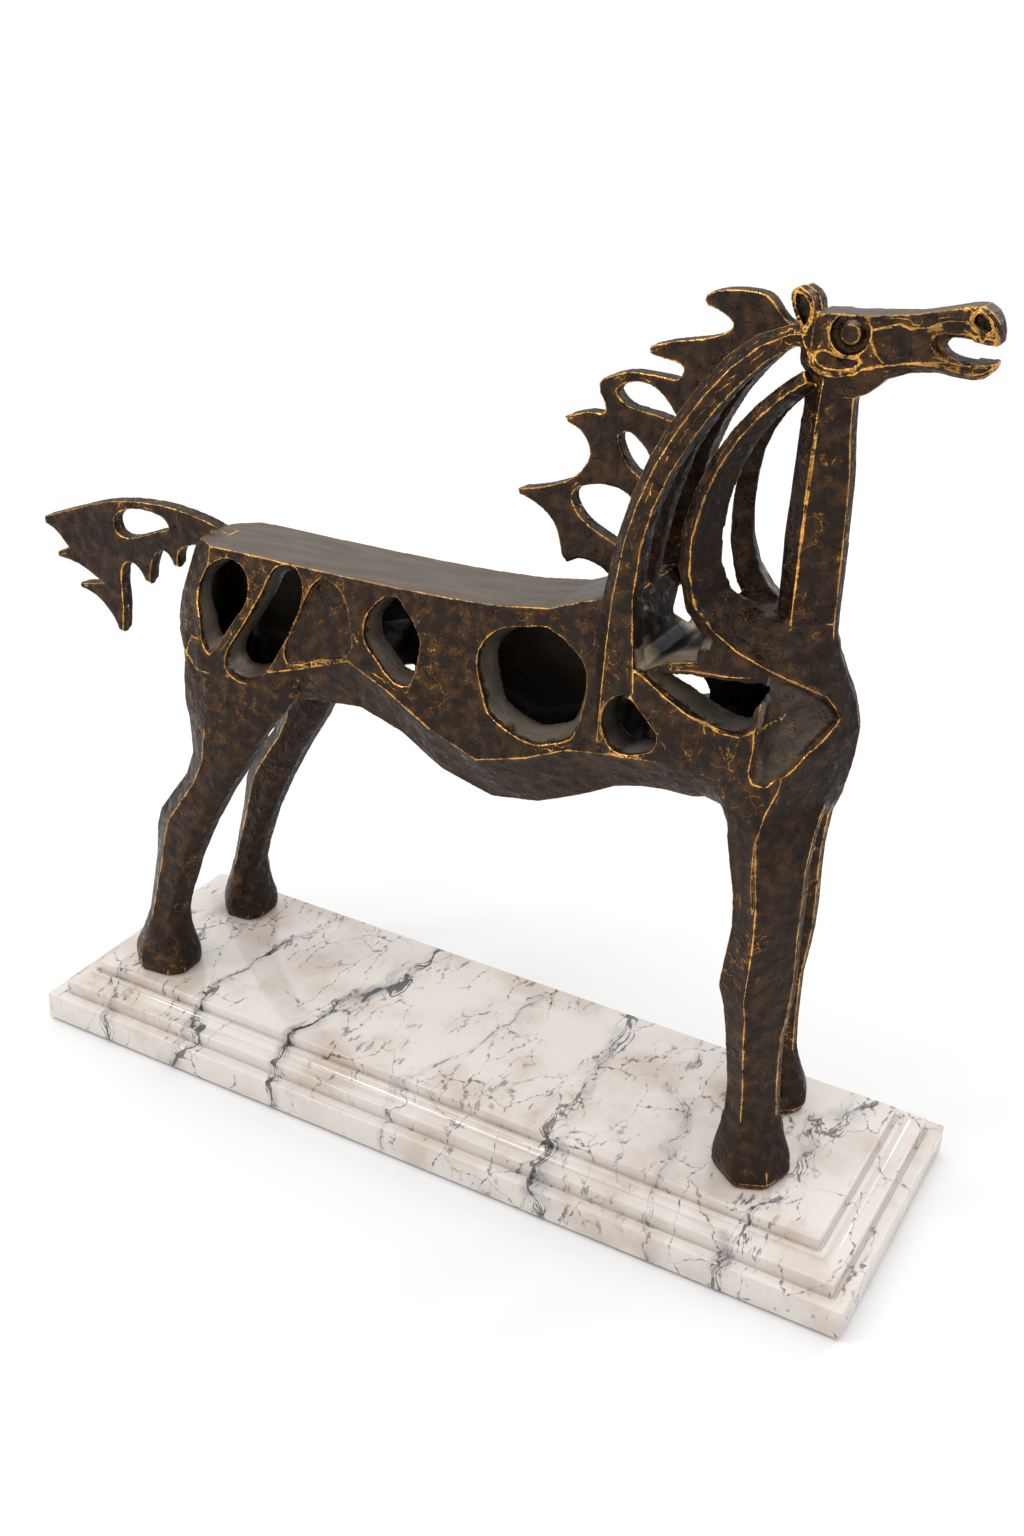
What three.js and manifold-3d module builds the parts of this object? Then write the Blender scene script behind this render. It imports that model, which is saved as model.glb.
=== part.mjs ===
import * as THREE from 'three';
import { mergeVertices } from 'three/addons/utils/BufferGeometryUtils.js';
import Module from 'manifold-3d';

const wasm = await Module();
wasm.setup();

// A stylised horse cast in bronze, standing on a stepped marble plinth.
// Millimetres, +Z up, the head towards +X. The origin is the middle of the plinth's underside.
// The horse is the same on both sides of y = 0, but for the far legs, which stand a little
// behind or before the near ones, and the openings in the far flank, which lie further forward.
// side is -1 for the near flank and +1 for the far flank.

// Plinth
const PLINTH_LENGTH = 600;
const PLINTH_DEPTH = 200;
const SLAB_HEIGHT = 22;
const SLAB_CORNER = 3;
const SLAB_ARRIS = 1;
const STEP_INSET = 10;
const STEP_HEIGHT = 8.5;
const COVE_WIDTH = 12;
const COVE_HEIGHT = 6.5;
const COVE_PARTS = 5;
const FILLET_INSET = 5;
const FILLET_HEIGHT = 7;
const PLINTH_TOP = SLAB_HEIGHT + STEP_HEIGHT + COVE_HEIGHT + FILLET_HEIGHT;

// Trunk: one row for each rib, from rump to withers. top and half-width of the back, height and
// half-width of the flank's lower arris, height and half-width of the belly.
const TRUNK_RIBS = [
  { x: -227, top: 320, back: 17, flankZ: 304, flank: 21, bellyZ: 266, belly: 17 },
  { x: -219, top: 352, back: 11, flankZ: 300, flank: 31, bellyZ: 256, belly: 22 },
  { x: -210, top: 361, back: 16, flankZ: 292, flank: 39, bellyZ: 251, belly: 27 },
  { x: -194, top: 362, back: 28, flankZ: 283, flank: 46, bellyZ: 250, belly: 31 },
  { x: -176, top: 362.5, back: 28, flankZ: 283, flank: 48, bellyZ: 252, belly: 33 },
  { x: -148, top: 363, back: 28, flankZ: 292, flank: 48, bellyZ: 264, belly: 33 },
  { x: -115, top: 363.5, back: 28, flankZ: 303, flank: 47, bellyZ: 277, belly: 32 },
  { x: -77, top: 364.5, back: 28, flankZ: 318, flank: 46, bellyZ: 281, belly: 31 },
  { x: -48, top: 365.5, back: 28, flankZ: 306, flank: 47, bellyZ: 271, belly: 29 },
  { x: -18, top: 367, back: 28, flankZ: 290, flank: 48, bellyZ: 253, belly: 28 },
  { x: 17, top: 370, back: 28, flankZ: 278, flank: 49, bellyZ: 244, belly: 27 },
  { x: 50, top: 376, back: 28, flankZ: 289, flank: 50, bellyZ: 251, belly: 29 },
  { x: 78, top: 388, back: 29, flankZ: 302, flank: 50, bellyZ: 264, belly: 30 },
  { x: 101, top: 395, back: 32, flankZ: 306, flank: 50, bellyZ: 277, belly: 31 },
  { x: 107, top: 381, back: 36, flankZ: 307, flank: 50, bellyZ: 279, belly: 31 },
  { x: 111, top: 365, back: 43, flankZ: 307, flank: 50, bellyZ: 280, belly: 31 },
  { x: 118, top: 360, back: 47, flankZ: 308, flank: 50, bellyZ: 282, belly: 31 },
  { x: 132, top: 369, back: 46, flankZ: 310, flank: 50, bellyZ: 284, belly: 31 },
  { x: 150, top: 373.5, back: 46, flankZ: 312, flank: 50, bellyZ: 284.5, belly: 31 },
  { x: 178, top: 370, back: 34, flankZ: 320, flank: 42, bellyZ: 292, belly: 27 },
];
// A corner stands out between the back and the flank: how far down it lies, and how far out.
const SHOULDER_DROP = 0.45;
const SHOULDER_OUT = 0.5;
// The hollow inside: thickness of the flanks, of the breast and of the back, and its two ends.
const WALL = 17;
const BREAST_WALL = 24;
const BACK_WALL = 12;
const WALL_TAPER = 0.8;
const FLANK_LIFT = 0.2;
const HOLLOW_BACK_MIN = 4;
const HOLLOW_BELLY_MIN = 5;
const HOLLOW_START = -203;
const HOLLOW_END = 155;
const HOLLOW_FRONT = { x: 186, top: 368 };
const BREAST_START = 100;

// Breast: level plans of its near half, each from the shoulder forwards to the middle of the
// breast, with the height of each plan. The far half mirrors it.
const BREAST_REAR = 150;
const BREAST_PLANS = [
  { z: 284, plan: [[-24], [170, -31], [197, -46], [219, -24], [222, 0]] },
  { z: 294, plan: [[-37], [178, -46], [202, -50], [223, -17], [226, 0]] },
  { z: 306, plan: [[-45], [182, -50], [204, -52], [225, -14], [229, 0]] },
  { z: 320, plan: [[-49], [185, -53], [205, -49], [226, -13], [231, 0]] },
  { z: 336, plan: [[-48], [185, -51], [206, -43], [228, -13], [232, 0]] },
  { z: 352, plan: [[-47], [184, -50], [206, -36], [224, -13], [228, 0]] },
  { z: 366, plan: [[-47], [182, -46], [203, -29], [217, -12], [221, 0]] },
  { z: 377, plan: [[-46], [172, -44], [186, -35], [213, -10], [216, 0]] },
  { z: 388, plan: [[-36], [160, -42], [184, -22], [210, -8], [212, 0]] },
  { z: 396, plan: [[-16], [176, -14], [190, -12], [208, -6], [210, 0]] },
];
// The sunk panel on each side of the breast: an overhanging ridge, the groove below it and the
// panel's lower border, each as x, y and z for the near side.
const BREAST_PANEL = [
  { ridge: [187, -41, 375], groove: [187, -44, 351], border: [188, -52.5, 317] },
  { ridge: [198, -31, 369.5], groove: [197, -29, 349], border: [198, -54, 312] },
  { ridge: [211, -24, 364], groove: [209, -20, 347], border: [209, -40, 321] },
  { ridge: [218, -17, 358], groove: [217, -14, 347], border: [217, -27, 335] },
  { ridge: [225, -12, 347], groove: [223, -11, 345.5], border: [224, -13, 343] },
];
const PANEL_REACH = 24;

// Openings cut through each flank, as round outlines in x and z on its skin, from rump to
// breast. Those behind the shoulder narrow inwards, by INNER_SCALE.
const OPENINGS = {
  rump: [[-170, 356], [-179, 357.5], [-187, 354.5], [-196, 347], [-202, 337], [-202, 324], [-196, 312],
    [-192, 301], [-185, 295], [-176, 307], [-166, 324], [-161, 332], [-160, 343], [-164, 352]],
  slot: [[-128, 362], [-137, 362], [-144, 357], [-150, 341], [-163, 315], [-171, 300], [-171, 291],
    [-163, 285], [-154, 284], [-140, 293], [-132, 305], [-120, 336], [-119, 347], [-122, 356.5]],
  ribs: [[-52, 360], [-60, 359], [-69, 349], [-71, 340], [-68, 330], [-59, 322.5], [-44, 311],
    [-34, 311], [-31, 327], [-31, 338], [-39, 349], [-46, 355]],
  heart: [[38, 362.5], [24, 359], [16, 354], [10, 346.5], [8, 338], [11, 327], [16, 316], [20, 308],
    [35, 301], [54, 298], [66, 302], [79, 309], [83, 325], [82, 348], [74, 356.5], [51, 365.5]],
};
const BREAST_OPENINGS = {
  girth: [[97, 323], [98, 333], [102, 340], [109, 345], [117, 341], [130, 329], [132, 321], [129, 315],
    [120, 310.5], [110, 308.5], [102, 312]],
  breast: [[120, 360.5], [136, 363.5], [150, 366], [168, 367], [185, 368.5], [190, 365], [186, 354],
    [186, 345], [181, 340.5], [169, 339], [151, 345], [135, 352]],
};
const INNER_SCALE = 0.82;
// On the far flank the openings lie a little further forward, the heart's is smaller, and the
// rump has a sunk panel instead. A small gap runs down through the floor of the hollow.
const FAR_SHIFT = 8;
const FAR_HEART = [[50, 352], [60, 363], [74, 361], [84, 350], [86, 334], [82, 318], [72, 307],
  [60, 308], [52, 318], [48, 336]];
const FLOOR_GAP = [
  { y: 4, corners: [[-73, 298], [-59, 303], [-60, 293], [-69, 291]] },
  { y: 60, corners: [[-107, 268], [-93, 273], [-94, 264], [-103, 262]] },
];
// The notch that opens the foot of the far crest bar towards the throat arc.
const WITHERS_GAP = [
  { y: 16, corners: [[110, 392], [125.5, 384], [118.5, 368], [107.5, 372.5]] },
  { y: 54, corners: [[94.5, 376], [110.5, 368], [103.5, 351.5], [91.5, 356]] },
];

// The panel sunk into each haunch, and the tongue that stands up behind each shoulder.
const RELIEF = 3;
const HAUNCH_PANEL = [[-107, 360], [-114, 353], [-118, 341], [-122, 327], [-126, 315], [-123, 305],
  [-111, 307.5], [-98, 313.5], [-81, 318], [-76, 326], [-80, 337], [-87, 351], [-97, 358]];
const SHOULDER_TONGUE = [[105, 359, 1], [113, 347], [123, 337], [134, 327], [143, 315, 1],
  [165, 322, 1], [158, 341, 1], [136, 350], [121, 361, 1]];

// Legs: one row for each level, from the body down to the plinth. rear and front are the two
// edges in x; half is the half-thickness in y; the sole stands on the plinth. turn draws the
// front edge in towards the middle, where a foreleg runs up into the breast.
const HIND_LEG = [
  { z: 302, rear: -203, front: -118, half: 5, y: 38.5, round: 0 },
  { z: 292, rear: -206, front: -117, half: 8, y: 38.5, round: 0 },
  { z: 283, rear: -208, front: -118, half: 9, y: 39.5, round: 0 },
  { z: 270, rear: -208, front: -126, half: 10, y: 40, round: 0 },
  { z: 257, rear: -207, front: -137, half: 12, y: 41, round: 0 },
  { z: 245, rear: -203, front: -145, half: 13, y: 42, round: 0 },
  { z: 222, rear: -200, front: -157, half: 13, y: 43.5, round: 0 },
  { z: 204, rear: -206, front: -168, half: 13, y: 44, round: 0 },
  { z: 190, rear: -216, front: -176, half: 13, y: 44.5, round: 0 },
  { z: 171, rear: -229, front: -186, half: 13, y: 45, round: 0 },
  { z: 158, rear: -233, front: -192, half: 12.5, y: 45, round: 0 },
  { z: 134, rear: -235, front: -202, half: 12, y: 45, round: 0 },
  { z: 108, rear: -240, front: -211, half: 12, y: 45, round: 0 },
  { z: 87, rear: -244, front: -216, half: 13, y: 45, round: 0.2 },
  { z: 72, rear: -251, front: -214, half: 17, y: 45, round: 0.5 },
  { z: 57, rear: -259, front: -208, half: 22, y: 45, round: 0.8 },
  { z: 49, rear: -260, front: -207, half: 23, y: 45, round: 0.9 },
  { z: PLINTH_TOP, rear: -257, front: -210, half: 21, y: 45, round: 0.9 },
];
const FORE_LEG = [
  { z: 320, rear: 178, front: 219, half: 14, y: 37, round: 0, turn: 1.4 },
  { z: 300, rear: 169, front: 223, half: 15.5, y: 38.5, round: 0, turn: 1.4 },
  { z: 290, rear: 171, front: 223, half: 15.5, y: 39.5, round: 0, turn: 0.9 },
  { z: 280, rear: 177, front: 223, half: 15.5, y: 40, round: 0, turn: 0.4 },
  { z: 262, rear: 181, front: 223, half: 16, y: 40.5, round: 0 },
  { z: 238, rear: 186.5, front: 224, half: 16.5, y: 41.5, round: 0 },
  { z: 219, rear: 188, front: 224, half: 16.5, y: 42, round: 0 },
  { z: 198, rear: 186, front: 225, half: 16, y: 42, round: 0 },
  { z: 177, rear: 184, front: 225, half: 16, y: 41.5, round: 0 },
  { z: 164, rear: 188, front: 224, half: 15, y: 41, round: 0 },
  { z: 145, rear: 191, front: 222, half: 14.5, y: 40.5, round: 0 },
  { z: 110, rear: 195, front: 223, half: 14, y: 39, round: 0 },
  { z: 90, rear: 195, front: 225, half: 15, y: 38, round: 0.2 },
  { z: 72, rear: 191, front: 232, half: 19, y: 37, round: 0.5 },
  { z: 57, rear: 187, front: 238, half: 23, y: 36, round: 0.8 },
  { z: 49, rear: 187, front: 239, half: 24, y: 36, round: 0.9 },
  { z: PLINTH_TOP, rear: 190, front: 236, half: 22, y: 36, round: 0.9 },
];
// A leg's section: u runs from the rear edge to the front, v from the middle to the outer face.
const HIND_SECTION = [
  [0, 0.22], [0.34, 1], [0.84, 1], [1, 0.45], [1, -0.45], [0.84, -1], [0.34, -1], [0, -0.22],
];
const FORE_SECTION = [
  [0, 0.35], [0.48, 1], [0.74, 0.45], [1, -0.25], [1, -0.7], [0.76, -1], [0.3, -1], [0, -0.35],
];
const TURN_FROM = 0.6;
// How the far legs differ: moved along x, set out from the middle, and slimmer along x. The first
// two come in between STANCE_TOP, where the legs leave the body, and STANCE_FULL.
const STANCE_TOP = 300;
const STANCE_FULL = 245;
const FAR_HIND = { shift: 1, out: 0, slim: 0.82 };
const FAR_FORE = { shift: -15, out: 6, slim: 1 };
const NEAR = { shift: 0, out: 0, slim: 1 };

// Tail: an upright plate on the middle plane, with spikes behind and drips below.
// A point with a third value is a sharp tip or notch; the rest are rounded.
const TAIL_THICKNESS = 10;
const TAIL_OUTLINE = [
  [-196, 362, 1], [-217, 368], [-252, 371], [-292, 366], [-325, 355], [-362, 340, 1], [-347, 335],
  [-335, 324, 1], [-352, 316, 1], [-328, 314], [-305.5, 304.5, 1], [-334, 298, 1], [-314, 294],
  [-299, 281], [-292, 266, 1], [-289.5, 290], [-289, 318], [-282.5, 325.5], [-273, 322],
  [-265.5, 308, 1], [-263, 327], [-256, 339], [-247.5, 338], [-240.5, 324.5, 1], [-238.5, 342],
  [-225, 349], [-196, 347, 1],
];
const TAIL_HOLE = [[-280, 363], [-293, 354], [-291, 344], [-282, 342], [-256, 352], [-246, 356],
  [-252, 363]];

// Mane: an upright plate on the middle plane, its locks swept backwards, with three holes.
const MANE_THICKNESS = 10;
const MANE_OUTLINE = [
  [172, 548, 1], [163, 554], [153, 563.5], [135, 564], [123, 561], [113.8, 554.5, 1], [126, 553],
  [136.5, 546], [129, 539.5], [101, 532], [83.6, 525.3, 1], [97, 523], [110.5, 520], [108, 513],
  [97.5, 513], [77, 512], [56.5, 502.7, 1], [63.6, 496.5], [66, 488], [55, 486.3], [36.6, 479.8, 1],
  [51.6, 475.3], [58.5, 463], [50, 448.5], [30, 438.5], [8, 432.8, 1], [25, 428.4], [38, 419],
  [43.5, 404], [45, 392.5, 1], [54, 400], [70, 398], [86, 384, 1], [100, 384, 1], [106, 420],
  [112, 452], [124, 484], [142, 514, 1],
];
const MANE_HOLES = [
  [[72, 501], [80, 507], [92, 507.5], [101, 502], [110, 490], [96, 492], [79, 494]],
  [[75, 476], [80, 479.5], [85, 478], [96, 466], [93, 455], [82, 461]],
  [[48.5, 437], [56, 444], [74, 447], [87, 441], [84, 412], [75, 415], [55, 425]],
];

// Crest bars: two bars that rise from the withers to the poll, one on each side of the mane.
// Each row is the middle of the bar in x and z, its half-width, and its outer and inner faces.
const CREST_BAR = [
  { x: 98, z: 312, half: 17, outer: 48.5, inner: 38 },
  { x: 99, z: 345, half: 17, outer: 49.5, inner: 33 },
  { x: 99, z: 372, half: 14, outer: 48.5, inner: 33 },
  { x: 99.5, z: 400, half: 10.5, outer: 47, inner: 32 },
  { x: 102.5, z: 431, half: 8.5, outer: 44, inner: 29 },
  { x: 106.5, z: 453, half: 8, outer: 39.5, inner: 24.5 },
  { x: 112.5, z: 473, half: 8, outer: 34, inner: 19 },
  { x: 121, z: 492, half: 8, outer: 28.5, inner: 13.5 },
  { x: 132, z: 511, half: 8, outer: 23.5, inner: 8.5 },
  { x: 144, z: 527, half: 8, outer: 20, inner: 5 },
  { x: 157, z: 539.5, half: 7, outer: 17, inner: 3 },
  { x: 171, z: 547, half: 5.5, outer: 13, inner: 2 },
  { x: 180, z: 548, half: 5, outer: 10, inner: 2 },
];
const CREST_BEVEL = 0.42;

// Throat arcs: two bowed bars from the jaw back and down, which turn forwards over the breast.
// size scales a four-cornered section that has one arris outwards.
const THROAT_ARC = [
  { x: 184, z: 527, y: 12, size: 0.62 },
  { x: 174, z: 519, y: 12, size: 0.62 },
  { x: 163, z: 507, y: 14.5, size: 0.66 },
  { x: 154, z: 494, y: 18.5, size: 0.72 },
  { x: 147, z: 479, y: 23, size: 0.8 },
  { x: 142.5, z: 462, y: 28, size: 0.9 },
  { x: 140, z: 441, y: 32.5, size: 1 },
  { x: 141, z: 422, y: 33, size: 1.05 },
  { x: 147, z: 404, y: 32, size: 1.2 },
  { x: 157, z: 393, y: 27.5, size: 1.4 },
  { x: 171, z: 383.5, y: 25.5, size: 1.4 },
  { x: 184, z: 377, y: 22, size: 1.35 },
  { x: 197, z: 370, y: 15.5, size: 1.3 },
  { x: 209, z: 365, y: 13, size: 1 },
  { x: 216, z: 360, y: 12.5, size: 0.6 },
];
const ARC_SECTION = [[9, 5], [0, 12], [-9, -11], [4, -11]];

// Throat column: rear, middle and front arrises in x, and their half-widths, at three levels.
const COLUMN = [
  { z: 378, rear: 178, middle: 190, front: 211.5, rearHalf: 5, half: 14, frontHalf: 4 },
  { z: 400, rear: 178, middle: 189.5, front: 210.7, rearHalf: 5, half: 14, frontHalf: 4 },
  { z: 440, rear: 177, middle: 188.5, front: 210, rearHalf: 5, half: 14, frontHalf: 4.5 },
  { z: 476, rear: 178, middle: 189, front: 208.8, rearHalf: 5, half: 13.5, frontHalf: 5 },
  { z: 500, rear: 178.5, middle: 189.5, front: 206, rearHalf: 5, half: 13, frontHalf: 5 },
  { z: 530, rear: 180, middle: 190.5, front: 204.5, rearHalf: 5, half: 12, frontHalf: 5 },
];

// Head: one row for each station from poll to lips. top and brow half-width, height and
// half-width of the cheek, of the jaw's arris and of the underside.
const HEAD = [
  { x: 175, top: 553, brow: 6, cheekZ: 549, cheek: 8, jawZ: 538, jaw: 8, chinZ: 532, chin: 5 },
  { x: 182, top: 559.5, brow: 10.5, cheekZ: 552, cheek: 12.5, jawZ: 534, jaw: 12.5, chinZ: 525, chin: 7 },
  { x: 190, top: 560.6, brow: 11, cheekZ: 554, cheek: 14, jawZ: 531, jaw: 13.5, chinZ: 520.5, chin: 7.5 },
  { x: 198, top: 561.2, brow: 11, cheekZ: 555, cheek: 14, jawZ: 530.5, jaw: 14, chinZ: 519.5, chin: 7.5 },
  { x: 206, top: 562, brow: 11, cheekZ: 555, cheek: 14, jawZ: 533, jaw: 13, chinZ: 519.5, chin: 7 },
  { x: 213, top: 562.8, brow: 10, cheekZ: 556, cheek: 12.8, jawZ: 536.5, jaw: 12, chinZ: 523.5, chin: 6.5 },
  { x: 221, top: 564, brow: 9, cheekZ: 558, cheek: 11.5, jawZ: 539.5, jaw: 11, chinZ: 531.5, chin: 5.5 },
  { x: 232, top: 565.8, brow: 7, cheekZ: 559.5, cheek: 10, jawZ: 542, jaw: 10, chinZ: 536.5, chin: 5 },
  { x: 246, top: 569.6, brow: 6.3, cheekZ: 561.5, cheek: 9.5, jawZ: 543, jaw: 9.5, chinZ: 539, chin: 5 },
  { x: 257, top: 573, brow: 6.5, cheekZ: 565, cheek: 9.5, jawZ: 541.5, jaw: 9, chinZ: 538.2, chin: 5.5 },
  { x: 264, top: 574, brow: 6.8, cheekZ: 567, cheek: 9.5, jawZ: 541, jaw: 8.5, chinZ: 538, chin: 5.2 },
  { x: 269, top: 571.2, brow: 6.3, cheekZ: 565, cheek: 8.9, jawZ: 542.5, jaw: 7.5, chinZ: 539.4, chin: 4.8 },
  { x: 272.4, top: 567, brow: 5.4, cheekZ: 562.5, cheek: 7.8, jawZ: 545, jaw: 6.2, chinZ: 542.6, chin: 4.4 },
  { x: 274, top: 562.6, brow: 4.2, cheekZ: 560, cheek: 6.2, jawZ: 548.2, jaw: 4.8, chinZ: 546, chin: 3.6 },
];
// Mouth: the slot right through between the lips, and the wider corner scooped into each cheek.
const MOUTH = [[246, 551.5, 1], [249, 556], [256, 557.5], [268, 556.5], [282, 556, 1], [282, 550, 1],
  [270, 546.8], [258, 546], [250, 547.5]];
const MOUTH_CORNER = [[241.5, 553, 1], [244, 558], [252, 559], [262, 559], [262, 545, 1], [254, 545.5],
  [246, 548]];
const MOUTH_CORNER_Y = 5;
// Eyes: a round socket, and in it a raised ring around a pupil with a short slot across it.
const EYE = { x: 201.5, z: 552.5, socket: 10.5, floor: 9 };
const EYE_RING = { radius: 5.9, y: 12.4 };
const EYE_GROOVE = { radius: 4.3, y: 10.6 };
const PUPIL = { radius: 3.3, y: 13.6 };
const PUPIL_SLOT = { length: 3.6, height: 0.9, y: 12.6 };
const PUPIL_ROOT = 1;
// Nostrils: leaf-shaped cups with a raised rim. Cheeks: a shallow sunk crescent below each eye.
const NOSTRIL_RIM = [[262.4, 573, 1], [259.2, 570.2], [259.2, 565.2], [263.4, 561.8], [268.2, 560.8],
  [271, 563.4], [270.2, 567.2], [266.8, 570.8]];
const NOSTRIL_CUP = [[262.5, 571.4, 1], [260.8, 569.2], [261, 566], [264.4, 563.4], [268, 562.4],
  [269.8, 564.2], [268.9, 566.8], [266.2, 569.6]];
const NOSTRIL_Y = { root: 3, rim: 9.6, cup: 5 };
const CHEEK = [[184.6, 538.4], [186, 541.4], [190, 542.4], [197, 540.4], [205, 541], [208.6, 539.4],
  [205, 535.8], [196, 534], [189, 534.4]];
const CHEEK_Y = 11.9;
// Ears: leaf-shaped cups that open sideways.
const EAR = [[168.6, 568.5], [172.4, 572, 1], [177.4, 569.6], [181, 565], [181.4, 558], [178, 549, 1],
  [173, 555.5], [169.6, 563]];
const EAR_CUP = [[171, 569.4, 1], [175.6, 567.6], [179, 563.6], [179.4, 558], [177.6, 552.2, 1],
  [174.2, 557], [171.2, 563.6]];
const EAR_Y = [5, 13];
const FAR_EAR_SHIFT = [-2, -2.5];
const EAR_CUP_Y = 9;

// Steps between two outline points: in the mane and tail, and in cuts and smaller shapes.
const PLATE_PARTS = 3;
const CUT_PARTS = 2;
// Corners of the round studs and cuts.
const SOCKET_CORNERS = 24;
const PUPIL_CORNERS = 16;

// A three.js geometry as a closed solid.
function solid(geometry) {
  geometry.deleteAttribute('normal');
  geometry.deleteAttribute('uv');
  const merged = mergeVertices(geometry, 1e-4);
  return new wasm.Manifold(new wasm.Mesh({
    numProp: 3,
    vertProperties: Float32Array.from(merged.attributes.position.array),
    triVerts: Uint32Array.from(merged.index.array),
  }));
}

// A solid back as a three.js geometry, with flat faces.
function geometryOf(manifold) {
  const { numProp, vertProperties, triVerts } = manifold.getMesh();
  const positions = new Float32Array((vertProperties.length / numProp) * 3);
  for (let i = 0; i < positions.length / 3; i += 1) {
    for (let k = 0; k < 3; k += 1) positions[3 * i + k] = vertProperties[numProp * i + k];
  }
  const geometry = new THREE.BufferGeometry();
  geometry.setAttribute('position', new THREE.BufferAttribute(positions, 3));
  geometry.setIndex(new THREE.BufferAttribute(Uint32Array.from(triVerts), 1));
  return geometry;
}

const join = (parts) => parts.reduce((whole, part) => whole.add(part));

// A closed skin through rings of equal point counts, with a fan over each end.
function loft(rings) {
  const count = rings[0].length;
  const middle = (ring) => [0, 1, 2].map((k) => ring.reduce((sum, p) => sum + p[k], 0) / count);
  const points = [...rings.flat(), middle(rings[0]), middle(rings.at(-1))];
  const first = rings.length * count;
  const faces = [];
  for (let r = 0; r + 1 < rings.length; r += 1) {
    for (let i = 0; i < count; i += 1) {
      const a = r * count + i;
      const b = r * count + ((i + 1) % count);
      faces.push([a, b, b + count], [a, b + count, a + count]);
    }
  }
  const lastRing = (rings.length - 1) * count;
  for (let i = 0; i < count; i += 1) {
    const next = (i + 1) % count;
    faces.push([first, next, i], [first + 1, lastRing + i, lastRing + next]);
  }
  const at = (i) => new THREE.Vector3(...points[i]);
  const volume = faces.reduce((sum, [a, b, c]) => sum + at(a).dot(at(b).cross(at(c))), 0);
  const ordered = volume > 0 ? faces : faces.map(([a, b, c]) => [a, c, b]);
  const geometry = new THREE.BufferGeometry();
  geometry.setAttribute('position', new THREE.Float32BufferAttribute(points.flat(), 3));
  geometry.setIndex(ordered.flat());
  return solid(geometry);
}

// An outline through rounded points and sharp ones (those with a third value), as x and z.
function outline(points, parts) {
  const sharp = points.map((p, i) => (p.length > 2 ? i : -1)).filter((i) => i >= 0);
  const flat = (list) => list.map(([x, z]) => new THREE.Vector3(x, z, 0));
  if (sharp.length === 0) {
    const loop = new THREE.CatmullRomCurve3(flat(points), true, 'centripetal');
    return loop.getPoints(points.length * parts).slice(0, -1).map((p) => new THREE.Vector2(p.x, p.y));
  }
  const result = [];
  sharp.forEach((start, k) => {
    const end = sharp[(k + 1) % sharp.length];
    const span = (end - start + points.length) % points.length || points.length;
    const run = Array.from({ length: span + 1 }, (_, i) => points[(start + i) % points.length]);
    const steps = span === 1 ? 1 : span * parts;
    const curve = new THREE.CatmullRomCurve3(flat(run), false, 'centripetal');
    curve.getPoints(steps).slice(0, -1).forEach((p) => result.push(new THREE.Vector2(p.x, p.y)));
  });
  return result;
}

// An outline in x and z raised to a plate between two heights in y.
function plate(points, yLow, yHigh) {
  const geometry = new THREE.ExtrudeGeometry(new THREE.Shape(points), {
    depth: yHigh - yLow, bevelEnabled: false, steps: 1,
  });
  geometry.rotateX(Math.PI / 2);
  geometry.translate(0, yHigh, 0);
  return solid(geometry);
}

// Plinth: rounded oblong rings that step in from the slab, through the cove, to the top.
function oblongRing(inset, z, radius) {
  const halfX = PLINTH_LENGTH / 2 - inset - radius;
  const halfY = PLINTH_DEPTH / 2 - inset - radius;
  const corners = [[1, 1], [-1, 1], [-1, -1], [1, -1]];
  return corners.flatMap(([sx, sy], corner) => [0, 1, 2].map((step) => {
    const angle = ((corner + step / 2) * Math.PI) / 2;
    return [sx * halfX + radius * Math.cos(angle), sy * halfY + radius * Math.sin(angle), z];
  }));
}

function buildPlinth() {
  const rings = [
    oblongRing(SLAB_ARRIS, 0, SLAB_CORNER),
    oblongRing(0, SLAB_ARRIS, SLAB_CORNER),
    oblongRing(0, SLAB_HEIGHT - SLAB_ARRIS, SLAB_CORNER),
    oblongRing(SLAB_ARRIS, SLAB_HEIGHT, SLAB_CORNER),
    oblongRing(STEP_INSET, SLAB_HEIGHT, SLAB_ARRIS),
    oblongRing(STEP_INSET, SLAB_HEIGHT + STEP_HEIGHT, SLAB_ARRIS),
  ];
  for (let i = 1; i <= COVE_PARTS; i += 1) {
    const angle = ((i / COVE_PARTS) * Math.PI) / 2;
    const inset = STEP_INSET + COVE_WIDTH * Math.sin(angle);
    const z = SLAB_HEIGHT + STEP_HEIGHT + COVE_HEIGHT * (1 - Math.cos(angle));
    rings.push(oblongRing(inset, z, SLAB_ARRIS));
  }
  const topInset = STEP_INSET + COVE_WIDTH + FILLET_INSET;
  rings.push(oblongRing(topInset, PLINTH_TOP - FILLET_HEIGHT, SLAB_ARRIS));
  rings.push(oblongRing(topInset, PLINTH_TOP, SLAB_ARRIS));
  return loft(rings);
}

// Trunk: the ribs as ten-cornered rings; inset draws the same ring inwards for the hollow.
function ribRing(rib, wall, backWall) {
  const { x, top, back, flankZ, flank, bellyZ, belly } = rib;
  const shoulderZ = top - SHOULDER_DROP * (top - flankZ);
  const shoulder = back + SHOULDER_OUT * (flank - back);
  const half = [
    [Math.max(back - wall * WALL_TAPER, HOLLOW_BACK_MIN), top - backWall],
    [shoulder - wall, shoulderZ],
    [flank - wall, flankZ + wall * FLANK_LIFT],
    [Math.max(belly - wall * WALL_TAPER, HOLLOW_BELLY_MIN), bellyZ + backWall],
  ];
  const near = half.map(([y, z]) => [x, -y, z]);
  const far = half.map(([y, z]) => [x, y, z]).reverse();
  return [...near, ...far];
}

function buildTrunk(inset) {
  return loft(TRUNK_RIBS.map((rib) => ribRing(rib, inset, inset)));
}

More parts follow.
